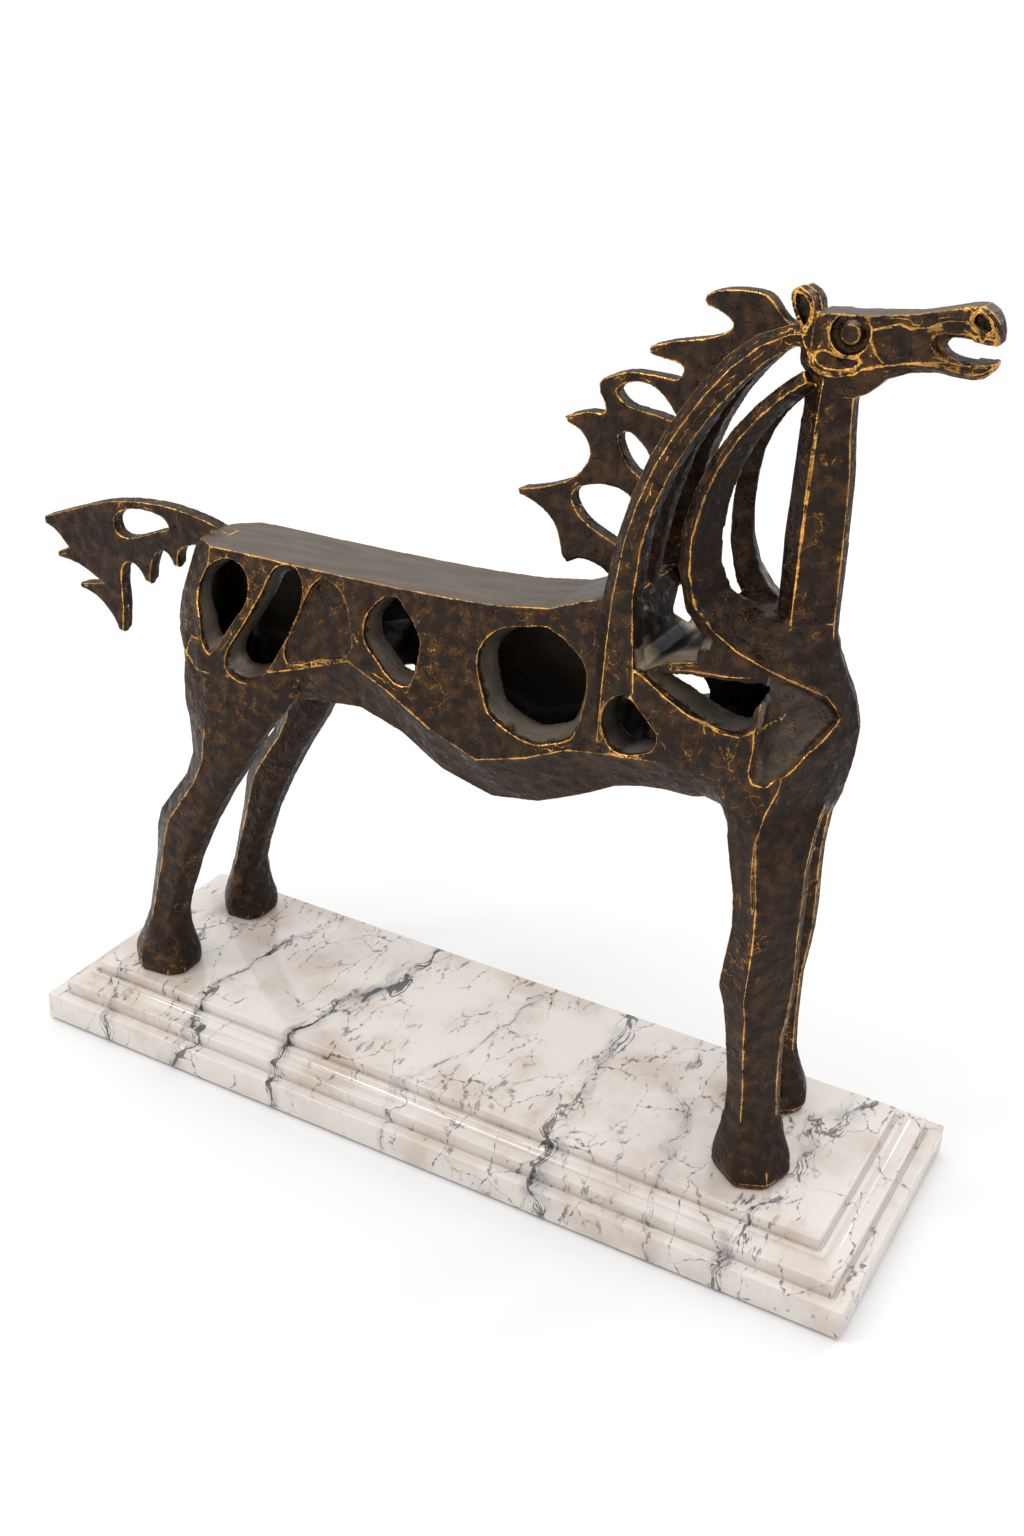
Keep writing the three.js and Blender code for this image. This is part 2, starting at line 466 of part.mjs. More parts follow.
function buildHollow() {
  const ribs = TRUNK_RIBS.filter(({ x }) => x > HOLLOW_START && x < HOLLOW_END);
  const rear = { ...ribs[0], x: HOLLOW_START };
  const front = { ...ribs.at(-1), ...HOLLOW_FRONT };
  const wallAt = (x) => (x > BREAST_START ? BREAST_WALL : WALL);
  return loft([rear, ...ribs, front].map((rib) => ribRing(rib, wallAt(rib.x), BACK_WALL)));
}

function breastRing({ z, plan }) {
  const near = plan.map((point) => (point.length === 1 ? [BREAST_REAR, point[0], z] : [...point, z]));
  const far = near.slice(0, -1).map(([x, y]) => [x, -y, z]).reverse();
  return [...near, ...far];
}

// Legs: eight-cornered rings. round draws the corners out to an oval, for the hooves.
function legRing({ z, rear, front, half, y, round, turn = 0 }, section, side, stance) {
  const { shift, out, slim } = stance;
  const length = (front - rear) * slim;
  const settled = THREE.MathUtils.smoothstep(STANCE_TOP - z, 0, STANCE_TOP - STANCE_FULL);
  return section.map(([u, v]) => {
    const angle = Math.atan2(v, 2 * u - 1);
    const ovalU = 0.5 + 0.5 * Math.cos(angle);
    const ovalV = Math.sin(angle);
    const along = u + round * (ovalU - u);
    const drawn = (turn * Math.max(u - TURN_FROM, 0)) / (1 - TURN_FROM);
    const across = v + round * (ovalV - v) - drawn;
    const x = front + shift * settled - (1 - along) * length;
    return [x, side * (y + out * settled + across * half), z];
  });
}

function buildLeg(levels, section, side, stance) {
  return loft(levels.map((level) => legRing(level, section, side, stance)));
}

// A bar in a plane nearly upright: its ring stands square to the run of its rows.
function barRing(rows, index, side, section) {
  const row = rows[index];
  const before = rows[Math.max(index - 1, 0)];
  const after = rows[Math.min(index + 1, rows.length - 1)];
  const run = new THREE.Vector2(after.x - before.x, after.z - before.z).normalize();
  return section(row).map(([n, y]) => [row.x - run.y * n, side * y, row.z + run.x * n]);
}

// Crest bar section: n grows to the rear, away from the throat.
function crestSection({ half, outer, inner }) {
  const bevel = half * CREST_BEVEL * 2;
  return [[-half, outer], [half - bevel, outer], [half, outer - bevel], [half, inner], [-half, inner]];
}

const arcSection = ({ y, size }) => ARC_SECTION.map(([n, out]) => [-n * size, y + out * size]);

const buildBar = (rows, side, section) => loft(rows.map((_, i) => barRing(rows, i, side, section)));

function columnRing({ z, rear, middle, front, rearHalf, half, frontHalf }) {
  const near = [[rear, -rearHalf], [middle, -half], [front, -frontHalf]];
  const far = near.map(([x, y]) => [x, -y]).reverse();
  return [...near, ...far].map(([x, y]) => [x, y, z]);
}

function headRing({ x, top, brow, cheekZ, cheek, jawZ, jaw, chinZ, chin }) {
  const half = [[brow, top], [cheek, cheekZ], [jaw, jawZ], [chin, chinZ]];
  return [...half.map(([y, z]) => [x, -y, z]), ...half.map(([y, z]) => [x, y, z]).reverse()];
}

const SIDES = [-1, 1];
const THROUGH = 90;
const INNER = 14;
const CLEAR = 10;

// A plate between two distances from the middle plane, on the near or the far side.
function sidePlate(points, side, from, to) {
  const [low, high] = [side * from, side * to].sort((a, b) => a - b);
  return plate(points, low, high);
}

// A round stud with its axis across the head.
function stud(x, z, radius, side, from, to, corners) {
  const geometry = new THREE.CylinderGeometry(radius, radius, to - from, corners);
  geometry.translate(x, (side * (from + to)) / 2, z);
  return solid(geometry);
}

// A panel's cutter: from ridge to groove to border, and out beyond the skin.
function panelRing({ ridge, groove, border }, side) {
  const beyond = [ridge[0] + PANEL_REACH / 2, ridge[1] - PANEL_REACH, (ridge[2] + border[2]) / 2];
  return [ridge, groove, border, beyond].map(([x, y, z]) => [x, -side * y, z]);
}

// Half-width of the flank at a place in x and z, between the ribs on either side of it.
function flankHalf(x, z) {
  const next = Math.max(TRUNK_RIBS.findIndex((rib) => rib.x > x), 1);
  const [a, b] = [TRUNK_RIBS[next - 1], TRUNK_RIBS[next]];
  const between = (key) => a[key] + ((x - a.x) / (b.x - a.x)) * (b[key] - a[key]);
  const lean = (between('top') - z) / (between('top') - between('flankZ'));
  return between('back') + THREE.MathUtils.clamp(lean, 0, 1) * (between('flank') - between('back'));
}

// An opening's cutter, which follows the lean of the flank and narrows from its skin inwards.
function flankCutter(points, side) {
  const middle = points.reduce((sum, p) => sum.add(p), new THREE.Vector2()).divideScalar(points.length);
  const ring = (depth, scale) => points.map((p) => {
    const at = middle.clone().lerp(p, scale);
    return [at.x, side * (flankHalf(p.x, p.y) - depth), at.y];
  });
  return loft([ring(-WALL, 1), ring(0, 1), ring(WALL, INNER_SCALE), ring(WALL + CLEAR, INNER_SCALE)]);
}

function buildBody() {
  const legs = [
    buildLeg(HIND_LEG, HIND_SECTION, -1, NEAR),
    buildLeg(HIND_LEG, HIND_SECTION, 1, FAR_HIND),
    buildLeg(FORE_LEG, FORE_SECTION, -1, NEAR),
    buildLeg(FORE_LEG, FORE_SECTION, 1, FAR_FORE),
  ];
  const tongues = buildTrunk(-RELIEF).intersect(join(SIDES.map(
    (side) => sidePlate(outline(SHOULDER_TONGUE, CUT_PARTS), side, INNER, THROUGH))));
  const trunk = join([buildTrunk(0), tongues, loft(BREAST_PLANS.map(breastRing)), ...legs]);
  const bars = SIDES.flatMap((side) => [
    buildBar(CREST_BAR, side, crestSection),
    buildBar(THROAT_ARC, side, arcSection),
  ]);
  let body = join([trunk.subtract(buildHollow()), ...bars]);
  const core = buildTrunk(RELIEF);
  for (const side of SIDES) {
    const shift = side > 0 ? FAR_SHIFT : 0;
    const moved = (points) => points.map(([x, z]) => [x + shift, z]);
    const { rump, heart, ...rest } = OPENINGS;
    const cuts = [...Object.values(rest).map(moved), side > 0 ? FAR_HEART : heart];
    const panels = [moved(HAUNCH_PANEL)];
    (side > 0 ? panels : cuts).push(rump);
    for (const points of cuts) body = body.subtract(flankCutter(outline(points, CUT_PARTS), side));
    for (const points of Object.values(BREAST_OPENINGS)) {
      body = body.subtract(sidePlate(outline(points, CUT_PARTS), side, INNER, THROUGH));
    }
    for (const points of panels) {
      body = body.subtract(sidePlate(outline(points, CUT_PARTS), side, INNER, THROUGH).subtract(core));
    }
    body = body.subtract(loft(BREAST_PANEL.map((row) => panelRing(row, side))));
  }
  for (const gap of [FLOOR_GAP, WITHERS_GAP]) {
    body = body.subtract(loft(gap.map(({ y, corners }) => corners.map(([x, z]) => [x, y, z]))));
  }
  return body;
}

function buildHead() {
  let head = loft(HEAD.map(headRing)).subtract(plate(outline(MOUTH, CUT_PARTS), -THROUGH, THROUGH));
  for (const side of SIDES) {
    const [earX, earZ] = side > 0 ? FAR_EAR_SHIFT : [0, 0];
    const ear = sidePlate(outline(EAR, CUT_PARTS), side, ...EAR_Y)
      .subtract(sidePlate(outline(EAR_CUP, CUT_PARTS), side, EAR_CUP_Y, THROUGH))
      .translate([earX, 0, earZ]);
    const root = EYE.floor - PUPIL_ROOT;
    const { x, z } = EYE;
    const slot = new THREE.BoxGeometry(PUPIL_SLOT.length, PUPIL_SLOT.y, PUPIL_SLOT.height);
    slot.translate(x, side * PUPIL_SLOT.y * 1.5, z);
    head = head
      .subtract(sidePlate(outline(MOUTH_CORNER, CUT_PARTS), side, MOUTH_CORNER_Y, THROUGH))
      .subtract(stud(x, z, EYE.socket, side, EYE.floor, THROUGH, SOCKET_CORNERS))
      .subtract(sidePlate(outline(CHEEK, CUT_PARTS), side, CHEEK_Y, THROUGH))
      .add(stud(x, z, EYE_RING.radius, side, root, EYE_RING.y, PUPIL_CORNERS))
      .subtract(stud(x, z, EYE_GROOVE.radius, side, EYE_GROOVE.y, THROUGH, PUPIL_CORNERS))
      .add(stud(x, z, PUPIL.radius, side, root, PUPIL.y, PUPIL_CORNERS))
      .subtract(solid(slot))
      .add(sidePlate(outline(NOSTRIL_RIM, CUT_PARTS), side, NOSTRIL_Y.root, NOSTRIL_Y.rim))
      .subtract(sidePlate(outline(NOSTRIL_CUP, CUT_PARTS), side, NOSTRIL_Y.cup, THROUGH))
      .add(ear);
  }
  return head;
}

function buildHorse() {
  const tail = plate(outline(TAIL_OUTLINE, PLATE_PARTS), -TAIL_THICKNESS / 2, TAIL_THICKNESS / 2)
    .subtract(plate(outline(TAIL_HOLE, PLATE_PARTS), -THROUGH, THROUGH));
  let mane = plate(outline(MANE_OUTLINE, PLATE_PARTS), -MANE_THICKNESS / 2, MANE_THICKNESS / 2);
  for (const hole of MANE_HOLES) mane = mane.subtract(plate(outline(hole, PLATE_PARTS), -THROUGH, THROUGH));
  const column = loft(COLUMN.map(columnRing));
  return join([buildBody(), tail, mane, column, buildHead()]);
}

const bronze = new THREE.MeshStandardMaterial({ color: 0x4a3a2a, roughness: 0.45, metalness: 1 });
const marble = new THREE.MeshStandardMaterial({ color: 0xe8e2dc, roughness: 0.2, metalness: 0 });

function named(name, manifold, material) {
  const mesh = new THREE.Mesh(geometryOf(manifold), material);
  mesh.name = name;
  return mesh;
}

const sculpture = new THREE.Group();
sculpture.add(named('plinth', buildPlinth(), marble));
sculpture.add(named('horse', buildHorse(), bronze));

export default sculpture;
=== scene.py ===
"""Looks for a stylised horse cast in bronze, standing on a stepped marble plinth.

Metres, +Z up, the head towards +X and the near flank towards -Y, as in the CAD frame.
"""

import logging
import math
from dataclasses import dataclass
from enum import Enum
from functools import partial
from typing import Any

import bmesh
import bpy
import numpy as np
from mathutils import Matrix, Vector, noise
from mathutils.bvhtree import BVHTree
from mathutils.kdtree import KDTree


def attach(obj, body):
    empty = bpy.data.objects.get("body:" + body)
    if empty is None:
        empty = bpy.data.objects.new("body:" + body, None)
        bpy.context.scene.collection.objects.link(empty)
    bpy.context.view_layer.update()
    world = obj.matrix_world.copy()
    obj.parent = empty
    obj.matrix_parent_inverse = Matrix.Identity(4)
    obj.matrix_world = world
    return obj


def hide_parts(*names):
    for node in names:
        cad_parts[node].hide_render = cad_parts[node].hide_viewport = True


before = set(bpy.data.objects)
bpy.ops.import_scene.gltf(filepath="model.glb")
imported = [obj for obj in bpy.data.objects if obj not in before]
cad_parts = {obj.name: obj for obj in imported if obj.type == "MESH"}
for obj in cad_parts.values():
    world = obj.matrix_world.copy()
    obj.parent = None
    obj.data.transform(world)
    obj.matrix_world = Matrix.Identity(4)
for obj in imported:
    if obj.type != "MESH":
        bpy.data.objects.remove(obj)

log = logging.getLogger("sculpture")
logging.basicConfig(level=logging.INFO, format="%(name)s: %(message)s")

MM = 0.001
Point = tuple[float, float, float]
Outline = tuple[tuple[float, float], ...]
Run = tuple[Vector, Vector, float]
Socket = bpy.types.NodeSocket

# Which property holds the mode of a kind of node, and the two modes that the finishes use most:
# a smooth step from 0 at one value to 1 at another, and a mix of two colours.
MODES = {
    "Math": "operation",
    "VectorMath": "operation",
    "MapRange": "interpolation_type",
    "TexVoronoi": "feature",
    "Mix": "data_type",
}
FADE = "MapRange SMOOTHSTEP"
BLEND = "Mix RGBA"


class Surface(Enum):
    """How a patch of the bronze was finished, or where light is painted on it."""

    PITTED = "pitted"
    RIVULETS = "rivulets"
    BURNISHED = "burnished"
    PAINTED_LIGHT = "painted_light"
    CALM = "calm"
    QUIET = "quiet"


# The finishes that the bronze draws, with its painted light. A calm patch is smoothed and a quiet
# one has no rubbed lines.
DRAWN = (Surface.PITTED, Surface.RIVULETS, Surface.BURNISHED, Surface.PAINTED_LIGHT)


def linear(colour: str) -> tuple[float, float, float, float]:
    """Turns an sRGB hex colour to linear light.

    Args:
        colour: The colour as "#rrggbb".

    Returns:
        Red, green, blue and alpha.
    """
    parts = [int(colour[i : i + 2], 16) / 255 for i in (1, 3, 5)]
    r, g, b = [c / 12.92 if c <= 0.04045 else ((c + 0.055) / 1.055) ** 2.4 for c in parts]
    return (r, g, b, 1.0)


def add(
    tree: bpy.types.NodeTree, kind: str, *inputs: Any, out: str = "", **settings: Any
) -> Socket:
    """Adds a node with its settings and links, and gives one of its outputs.

    Args:
        tree: The node tree.
        kind: The node's type without its "ShaderNode", then its mode where it has one.
        *inputs: Values or sockets for the inputs in use, in order, or a dict of them by name.
        out: The output's name, or nothing for the first one in use.
        **settings: The node's other properties.

    Returns:
        The output.
    """
    kind, _, mode = kind.partition(" ")
    node = tree.nodes.new("ShaderNode" + kind)
    if mode:
        settings[MODES[kind]] = mode
    for name, value in settings.items():
        setattr(node, name, value)
    named = inputs and isinstance(inputs[0], dict)
    used = [socket for socket in node.inputs if socket.enabled]
    pairs = [(node.inputs[k], v) for k, v in inputs[0].items()] if named else zip(used, inputs)
    for socket, value in pairs:
        if isinstance(value, Socket):
            tree.links.new(value, socket)
        else:
            socket.default_value = value
    return node.outputs[out] if out else next(o for o in node.outputs if o.enabled)


def per_mm(size: float) -> float:
    """Scale of a texture whose features are this many millimetres across."""
    return 1.0 / (size * MM)


class Network:
    """A material's node tree, with the steps of several nodes that the finishes share."""

    def __init__(self, name: str) -> None:
        """Starts a material.

        Args:
            name: The material's name.
        """
        self.material = bpy.data.materials.new(name)
        self.material.use_nodes = True
        self.tree = self.material.node_tree
        self.shader = self.tree.nodes["Principled BSDF"]
        self.place = add(self.tree, "TexCoord", out="Object")

    def times(self, first: Any, *others: Any) -> Socket:
        """Multiplies several values.

        Args:
            first: A socket or a number.
            *others: More of them.

        Returns:
            Their product.
        """
        for other in others:
            first = add(self.tree, "Math MULTIPLY", first, other)
        return first

    def warped(self, size: float, reach: float) -> Socket:
        """The object's coordinates, pushed about by a noise.

        Args:
            size: Size of the noise's features in millimetres.
            reach: How far a point moves, in millimetres.

        Returns:
            The moved coordinates.
        """
        noise_colour = add(self.tree, "TexNoise", self.place, per_mm(size), 3.0, out="Color")
        centred = add(self.tree, "VectorMath SUBTRACT", noise_colour, (0.5,) * 3)
        push = add(self.tree, "VectorMath MULTIPLY", centred, (2 * reach * MM,) * 3)
        return add(self.tree, "VectorMath ADD", self.place, push)

    def link(self, **sockets: Any) -> None:
        """Joins sockets to the shader, each named as its input with _ for a space."""
        for name, socket in sockets.items():
            self.tree.links.new(socket, self.shader.inputs[name.replace("_", " ")])


@dataclass(frozen=True)
class CastBronze:
    """Cast bronze under a dark brown patina, hammered, with its arrises rubbed back to the metal.

    The patina gives a dark half-gloss brown, the reveals and the back a smoother grey brown, and
    the arrises, cracks and pits a thin broken gold. On the upward faces of the back, saddle and
    brow that grey brown is partly painted light from above, and on two patches it is painted light
    outright;
    the ends facing along the horse carry painted shade, deep inside the trunk painted shade runs
    almost black, and the breast panel carries a painted sheen.
    """

    name: str = "patinated_cast_bronze"
    patina: str = "#21150b"
    # Painted shade for the ends that face along the horse.
    rough_shaded_ends: str = "#150e08"
    brown: str = "#432d18"
    # Grey brown of the smooth parts; on their upward faces its lightness is partly painted light
    # from above.
    satin_and_top_light: str = "#6b6359"
    # Painted light: a paler grey brown laid on the saddle and an opening's inner lip, which lie in
    # shade.
    painted_light: str = "#b3a58c"
    stain: str = "#6e431a"
    gold: str = "#e6aa58"
    dull_gold: str = "#754817"
    # Painted shade deep inside the hollow trunk.
    hollow_shade: str = "#060504"
    # How far the painted shade darkens those ends.
    end_shade_share: float = 0.7
    stain_share: float = 0.28
    bump_strength: float = 0.9
    specular: float = 0.36
    # Sizes of the features in millimetres.
    grain: float = 0.9
    fine: float = 2.2
    mid: float = 8.0
    broad: float = 34.0
    facet: float = 7.5
    fold: float = 9.0
    chip: float = 6.5
    rivulet: float = 17.0
    worm: float = 6.0
    dot: float = 3.1
    brushing: float = 14.0
    line_width: float = 0.32
    line_edge: float = 0.35
    line_reach: tuple[float, float] = (4.2, 3.2)

    def bare_metal(
        self, net: Network, read: dict[str, Socket], noises: dict[str, Socket]
    ) -> tuple[Socket, Socket, Socket]:
        """Draws where the bronze is rubbed bare, and the warm stain around it.

        Args:
            net: The material's network.
            read: The horse's attributes.
            noises: Noise of about two millimetres, one centimetre and four centimetres.

        Returns:
            The bare metal, its bright crest and the stain, each from 0 to 1.
        """
        node = partial(add, net.tree)
        fine, mid, broad = noises["fine"], noises["mid"], noises["broad"]
        moved = net.warped(9.0, 9.0)
        worn = node("Math MULTIPLY_ADD", node(FADE, broad, 0.36, 0.56), 0.6, 0.4)
        rubbed = net.times(node(FADE, read["rub"], 0.08, 0.7), worn)
        exact = node("VectorMath LENGTH", read["to_line"])
        distance = node("Math ADD", exact, node("Math MULTIPLY_ADD", fine, 1.1, -0.55))
        near = node(FADE, read["arris"], *self.line_reach)
        width = node("Math MULTIPLY_ADD", node(FADE, mid, 0.36, 0.64), 0.5, self.line_width)
        wider = net.times(read["burnished"], node(FADE, mid, 0.44, 0.62), 0.9)
        width = node("Math ADD", width, wider)
        inner = node("Math SUBTRACT", width, self.line_edge)
        pits = net.times(read["burnished"], node(FADE, fine, 0.52, 0.6))
        unpitted = node("Math SUBTRACT", 1.0, pits)
        line = net.times(node(FADE, distance, width, inner), rubbed, near, unpitted)
        cloudy = node(FADE, mid, 0.4, 0.66)
        halo = net.times(node(FADE, distance, 3.2, 0.5), read["rub"], near, cloudy)

        cell = node("TexVoronoi DISTANCE_TO_EDGE", moved, per_mm(self.rivulet))
        crack = node(FADE, node("Math MULTIPLY_ADD", fine, 0.03, cell), 0.038, 0.024)
        gate = node(FADE, node("Math MULTIPLY_ADD", mid, 0.7, broad), 0.87, 0.95)
        crack = net.times(crack, gate, read["rivulets"])

        dots = node("TexVoronoi F1", moved, per_mm(self.dot))
        size = net.times(dots.node.outputs["Color"], node(FADE, mid, 0.42, 0.62), 0.38)
        spot = node(FADE, dots, size, net.times(size, 0.75))
        winding = node("TexNoise", moved, per_mm(self.worm), 2.0, 0.5)
        ridge = node("Math ABSOLUTE", node("Math SUBTRACT", winding, 0.5))
        worm = net.times(node(FADE, ridge, 0.016, 0.0), node(FADE, mid, 0.54, 0.6), 0.6)
        speck = net.times(node("Math MAXIMUM", spot, worm), node(FADE, read["pitted"], 0.0, 0.55))
        bare = node("Math MAXIMUM", node("Math MAXIMUM", line, crack), speck)
        glint = node(FADE, distance, 0.8, 0.15)
        warm = net.times(read["pitted"], node(FADE, mid, 0.42, 0.66), 0.3)
        return bare, glint, node("Math MAXIMUM", halo, warm)

    def build(self) -> bpy.types.Material:
        """Builds the material.

        Returns:
            The bronze, which reads the horse's own attributes.
        """
        net = Network(self.name)
        node = partial(add, net.tree)
        names = ("arris", "rub", "skin", *(surface.value for surface in DRAWN), "rough_shaded_ends", "hollow")
        read = {name: node("Attribute", attribute_name=name, out="Fac") for name in names}
        read["to_line"] = node("Attribute", attribute_name="to_line", out="Vector")
        noises = {
            "fine": node("TexNoise", net.place, per_mm(self.fine), 3.0, 0.55),
            "mid": node("TexNoise", net.place, per_mm(self.mid), 3.0, 0.55),
            "broad": node("TexNoise", net.place, per_mm(self.broad), 2.0, 0.55),
        }
        fine, mid = noises["fine"], noises["mid"]
        grit = node("TexNoise", net.place, per_mm(self.grain), 2.0, 0.6)
        bare, glint, warm = self.bare_metal(net, read, noises)

        tone = node(BLEND, node(FADE, mid, 0.38, 0.72), linear(self.patina), linear(self.brown))
        turn, stretch = (0.0, 0.0, math.radians(8)), (0.3, 1.6, 1.0)
        brushed = node("Mapping", {"Vector": net.place, "Rotation": turn, "Scale": stretch})
        cloudy = node(FADE, node("TexNoise", brushed, per_mm(self.brushing), 4.0, 0.6), 0.3, 0.75)
        # The smooth parts' grey brown, lighter in the painted-light patches; on upward faces it is
        # partly painted light.
        bright = node(BLEND, read["painted_light"], linear(self.satin_and_top_light), linear(self.painted_light))
        smooth = node(BLEND, net.times(cloudy, 0.5), bright, linear(self.brown))
        tone = node(BLEND, read["skin"], smooth, tone)
        # Painted shade: the ends that face along the horse are darkened.
        tone = node(BLEND, net.times(read["rough_shaded_ends"], self.end_shade_share), tone, linear(self.rough_shaded_ends))
        tone = node(BLEND, net.times(warm, self.stain_share), tone, linear(self.stain))
        shine = node("Math MAXIMUM", glint, net.times(node(FADE, fine, 0.36, 0.62), 0.45))
        metal = node(BLEND, shine, linear(self.dull_gold), linear(self.gold))
        tone = node(BLEND, bare, tone, metal)
        # Painted shade: deep inside the trunk the colour falls to almost black.
        tone = node(BLEND, read["hollow"], tone, linear(self.hollow_shade))

        moved = net.warped(14.0, 5.0)
        facets = node("TexVoronoi SMOOTH_F1", moved, per_mm(self.facet))
        folded = node("TexNoise", moved, per_mm(self.fold), 3.0, 0.55)
        folds = node("Math ABSOLUTE", node("Math SUBTRACT", folded, 0.5))
        chips = node(FADE, node("TexNoise", moved, per_mm(self.chip), 1.0, 0.5), 0.58, 0.63)
        height = node("Math MULTIPLY_ADD", grit, 0.1, net.times(facets, 0.8))
        height = node("Math MULTIPLY_ADD", folds, -2.4, height)
        height = node("Math MULTIPLY_ADD", chips, 0.6, height)
        height = net.times(height, node("Math MULTIPLY_ADD", read["skin"], 0.88, 0.12))
        height = node("Math MULTIPLY_ADD", bare, 0.35, height)
        bump = node("Bump", {"Height": height, "Strength": self.bump_strength, "Distance": MM})
        gloss = node("Math MULTIPLY_ADD", fine, 0.22, 0.3)
        gloss = node("Math MULTIPLY_ADD", net.times(chips, read["skin"]), -0.2, gloss)
        gloss = node("Math MULTIPLY_ADD", read["rough_shaded_ends"], 0.22, gloss)
        net.link(
            Base_Color=tone,
            Metallic=node("Math MULTIPLY_ADD", bare, 0.5, 0.5),
            Roughness=node("Math MULTIPLY_ADD", bare, -0.2, gloss),
            Normal=bump,
        )
        net.shader.inputs["Specular IOR Level"].default_value = self.specular
        return net.material


@dataclass(frozen=True)
class Vein:
    """A dark vein across the plinth: how far it turns from straight across, where it crosses the
    plinth's middle, and half its spread, in degrees and millimetres."""

    turn: float
    offset: float
    spread: float
    strength: float = 1.0


@dataclass(frozen=True)
class PolishedMarble:
    """White marble with grey and brown veins, sawn, moulded and polished.

    Polish gives a clear soft reflection; the veins run across the plinth in torn strands, with
    beaded hairlines between them, through pale warm clouds.
    """

    name: str = "polished_white_marble"
    white: str = "#d8d1ca"
    cloud: str = "#c3b4a8"
    grey: str = "#828181"
    vein: str = "#26292c"
    brown: str = "#5d483b"
    roughness: float = 0.1
    ior: float = 1.6
    veins: tuple[Vein, ...] = (
        Vein(12.2, -86.0, 9.0, 1.05),
        Vein(-8.7, 85.0, 11.0, 0.85),
        Vein(10.0, -172.0, 7.0, 0.8),
        Vein(-16.0, 150.0, 7.0, 0.55),
        Vein(6.0, 236.0, 9.0, 0.8),
        Vein(4.0, -236.0, 9.0, 0.7),
        Vein(18.0, 8.0, 6.0, 0.5),
    )
    # How far each strand of a vein strays from its middle, as a share of the vein's spread.
    strands: tuple[float, ...] = (0.0, -1.5, 2.2, 1.0)
    # Sizes of the features in millimetres.
    main_width: float = 2.4
    strand_width: float = 1.6
    bead_width: float = 0.8
    drift: float = 60.0
    drift_reach: float = 35.0
    fray: float = 16.0
    fray_reach: float = 7.0
    split: float = 26.0
    cell: float = 26.0
    knot: float = 13.0
    dash: float = 5.0
    cloudiness: float = 52.0

    def away(self, net: Network, vein: Vein, drift: Socket, fray: Socket) -> Socket:
        """Measures how far each point lies from a vein's wandering middle.

        Args:
            net: The material's network.
            vein: The vein.
            drift: Its slow wander, in metres.
            fray: Its quick wander, in metres.

        Returns:
            The signed distance in metres.
        """
        node = partial(add, net.tree)
        turn = (0.0, 0.0, math.radians(vein.turn))
        turned = node("Mapping", {"Vector": net.place, "Rotation": turn})
        across = node("SeparateXYZ", turned, out="X")
        offset = node("Math SUBTRACT", across, vein.offset * MM)
        return node("Math ADD", offset, node("Math ADD", drift, fray))

    def build(self) -> bpy.types.Material:
        """Builds the material.

        Returns:
            The marble, drawn in the plinth's own coordinates.
        """
        net = Network(self.name)
        node = partial(add, net.tree)
        slow = node("TexNoise", net.place, per_mm(self.drift), 2.0, 0.5)
        drift = node("Math MULTIPLY_ADD", slow, 2 * self.drift_reach * MM, -self.drift_reach * MM)
        stretched = node("Mapping", {"Vector": net.place, "Scale": (1.0, 0.4, 0.6)})
        quick = node("TexNoise", stretched, per_mm(self.fray), 2.0, 0.6)
        fray = node("Math MULTIPLY_ADD", quick, 2 * self.fray_reach * MM, -self.fray_reach * MM)
        parting = node("TexNoise", stretched, per_mm(self.split), 3.0, 0.6)
        split = node("Math MULTIPLY_ADD", parting, 2.0, -1.0)
        thick = node(FADE, node("TexNoise", stretched, per_mm(14.0), 3.0, 0.6), 0.4, 0.7)
        beads = node(FADE, node("TexNoise", net.place, per_mm(4.0), 2.0, 0.55), 0.46, 0.66)
        strand, haze = None, None
        for vein in self.veins:
            middle = self.away(net, vein, drift, fray)
            darkness = min(1.0, 0.3 + vein.strength * 0.7)
            for share in self.strands:
                apart = node("Math MULTIPLY_ADD", split, share * vein.spread * MM, middle)
                away = node("Math ABSOLUTE", apart)
                wide = (self.main_width if share == 0.0 else self.strand_width) * MM * vein.strength
                beaded = net.times(beads, self.bead_width * MM * vein.strength)
                width = node("Math MULTIPLY_ADD", thick, wide, beaded)
                core = net.times(node(FADE, away, width, net.times(width, 0.3)), darkness)
                strand = core if strand is None else node("Math MAXIMUM", strand, core)
            away = node("Math ABSOLUTE", middle)
            wide = net.times(node(FADE, away, 1.5 * vein.spread * MM, 0.0), vein.strength)
            haze = wide if haze is None else node("Math MAXIMUM", haze, wide)

        torn = node("Mapping", {"Vector": net.warped(24.0, 9.0), "Scale": (1.0, 0.42, 0.6)})
        mesh_of_lines = node("TexVoronoi DISTANCE_TO_EDGE", torn, per_mm(self.cell))
        close = node("TexVoronoi DISTANCE_TO_EDGE", torn, per_mm(self.knot))
        gate = node(FADE, node("TexNoise", net.place, per_mm(42.0), 2.0, 0.55), 0.4, 0.55)
        width = node("Math MULTIPLY_ADD", beads, 0.03, 0.012)
        core = node(FADE, mesh_of_lines, width, net.times(width, 0.3))
        hair = net.times(core, gate, node("Math MULTIPLY_ADD", beads, 0.6, 0.4))
        tied = node(FADE, close, net.times(width, 1.8), width)
        knot = net.times(tied, node(FADE, haze, 0.2, 0.5), thick)
        turn, stretch = (0.0, 0.0, math.radians(12)), (1.0, 0.32, 0.5)
        slanting = node("Mapping", {"Vector": net.place, "Rotation": turn, "Scale": stretch})
        dash = node(FADE, node("TexNoise", slanting, per_mm(self.dash), 2.0, 0.6), 0.6, 0.68)
        among = node(FADE, node("TexNoise", net.place, per_mm(46.0), 2.0, 0.55), 0.45, 0.6)
        dashes = net.times(dash, among)

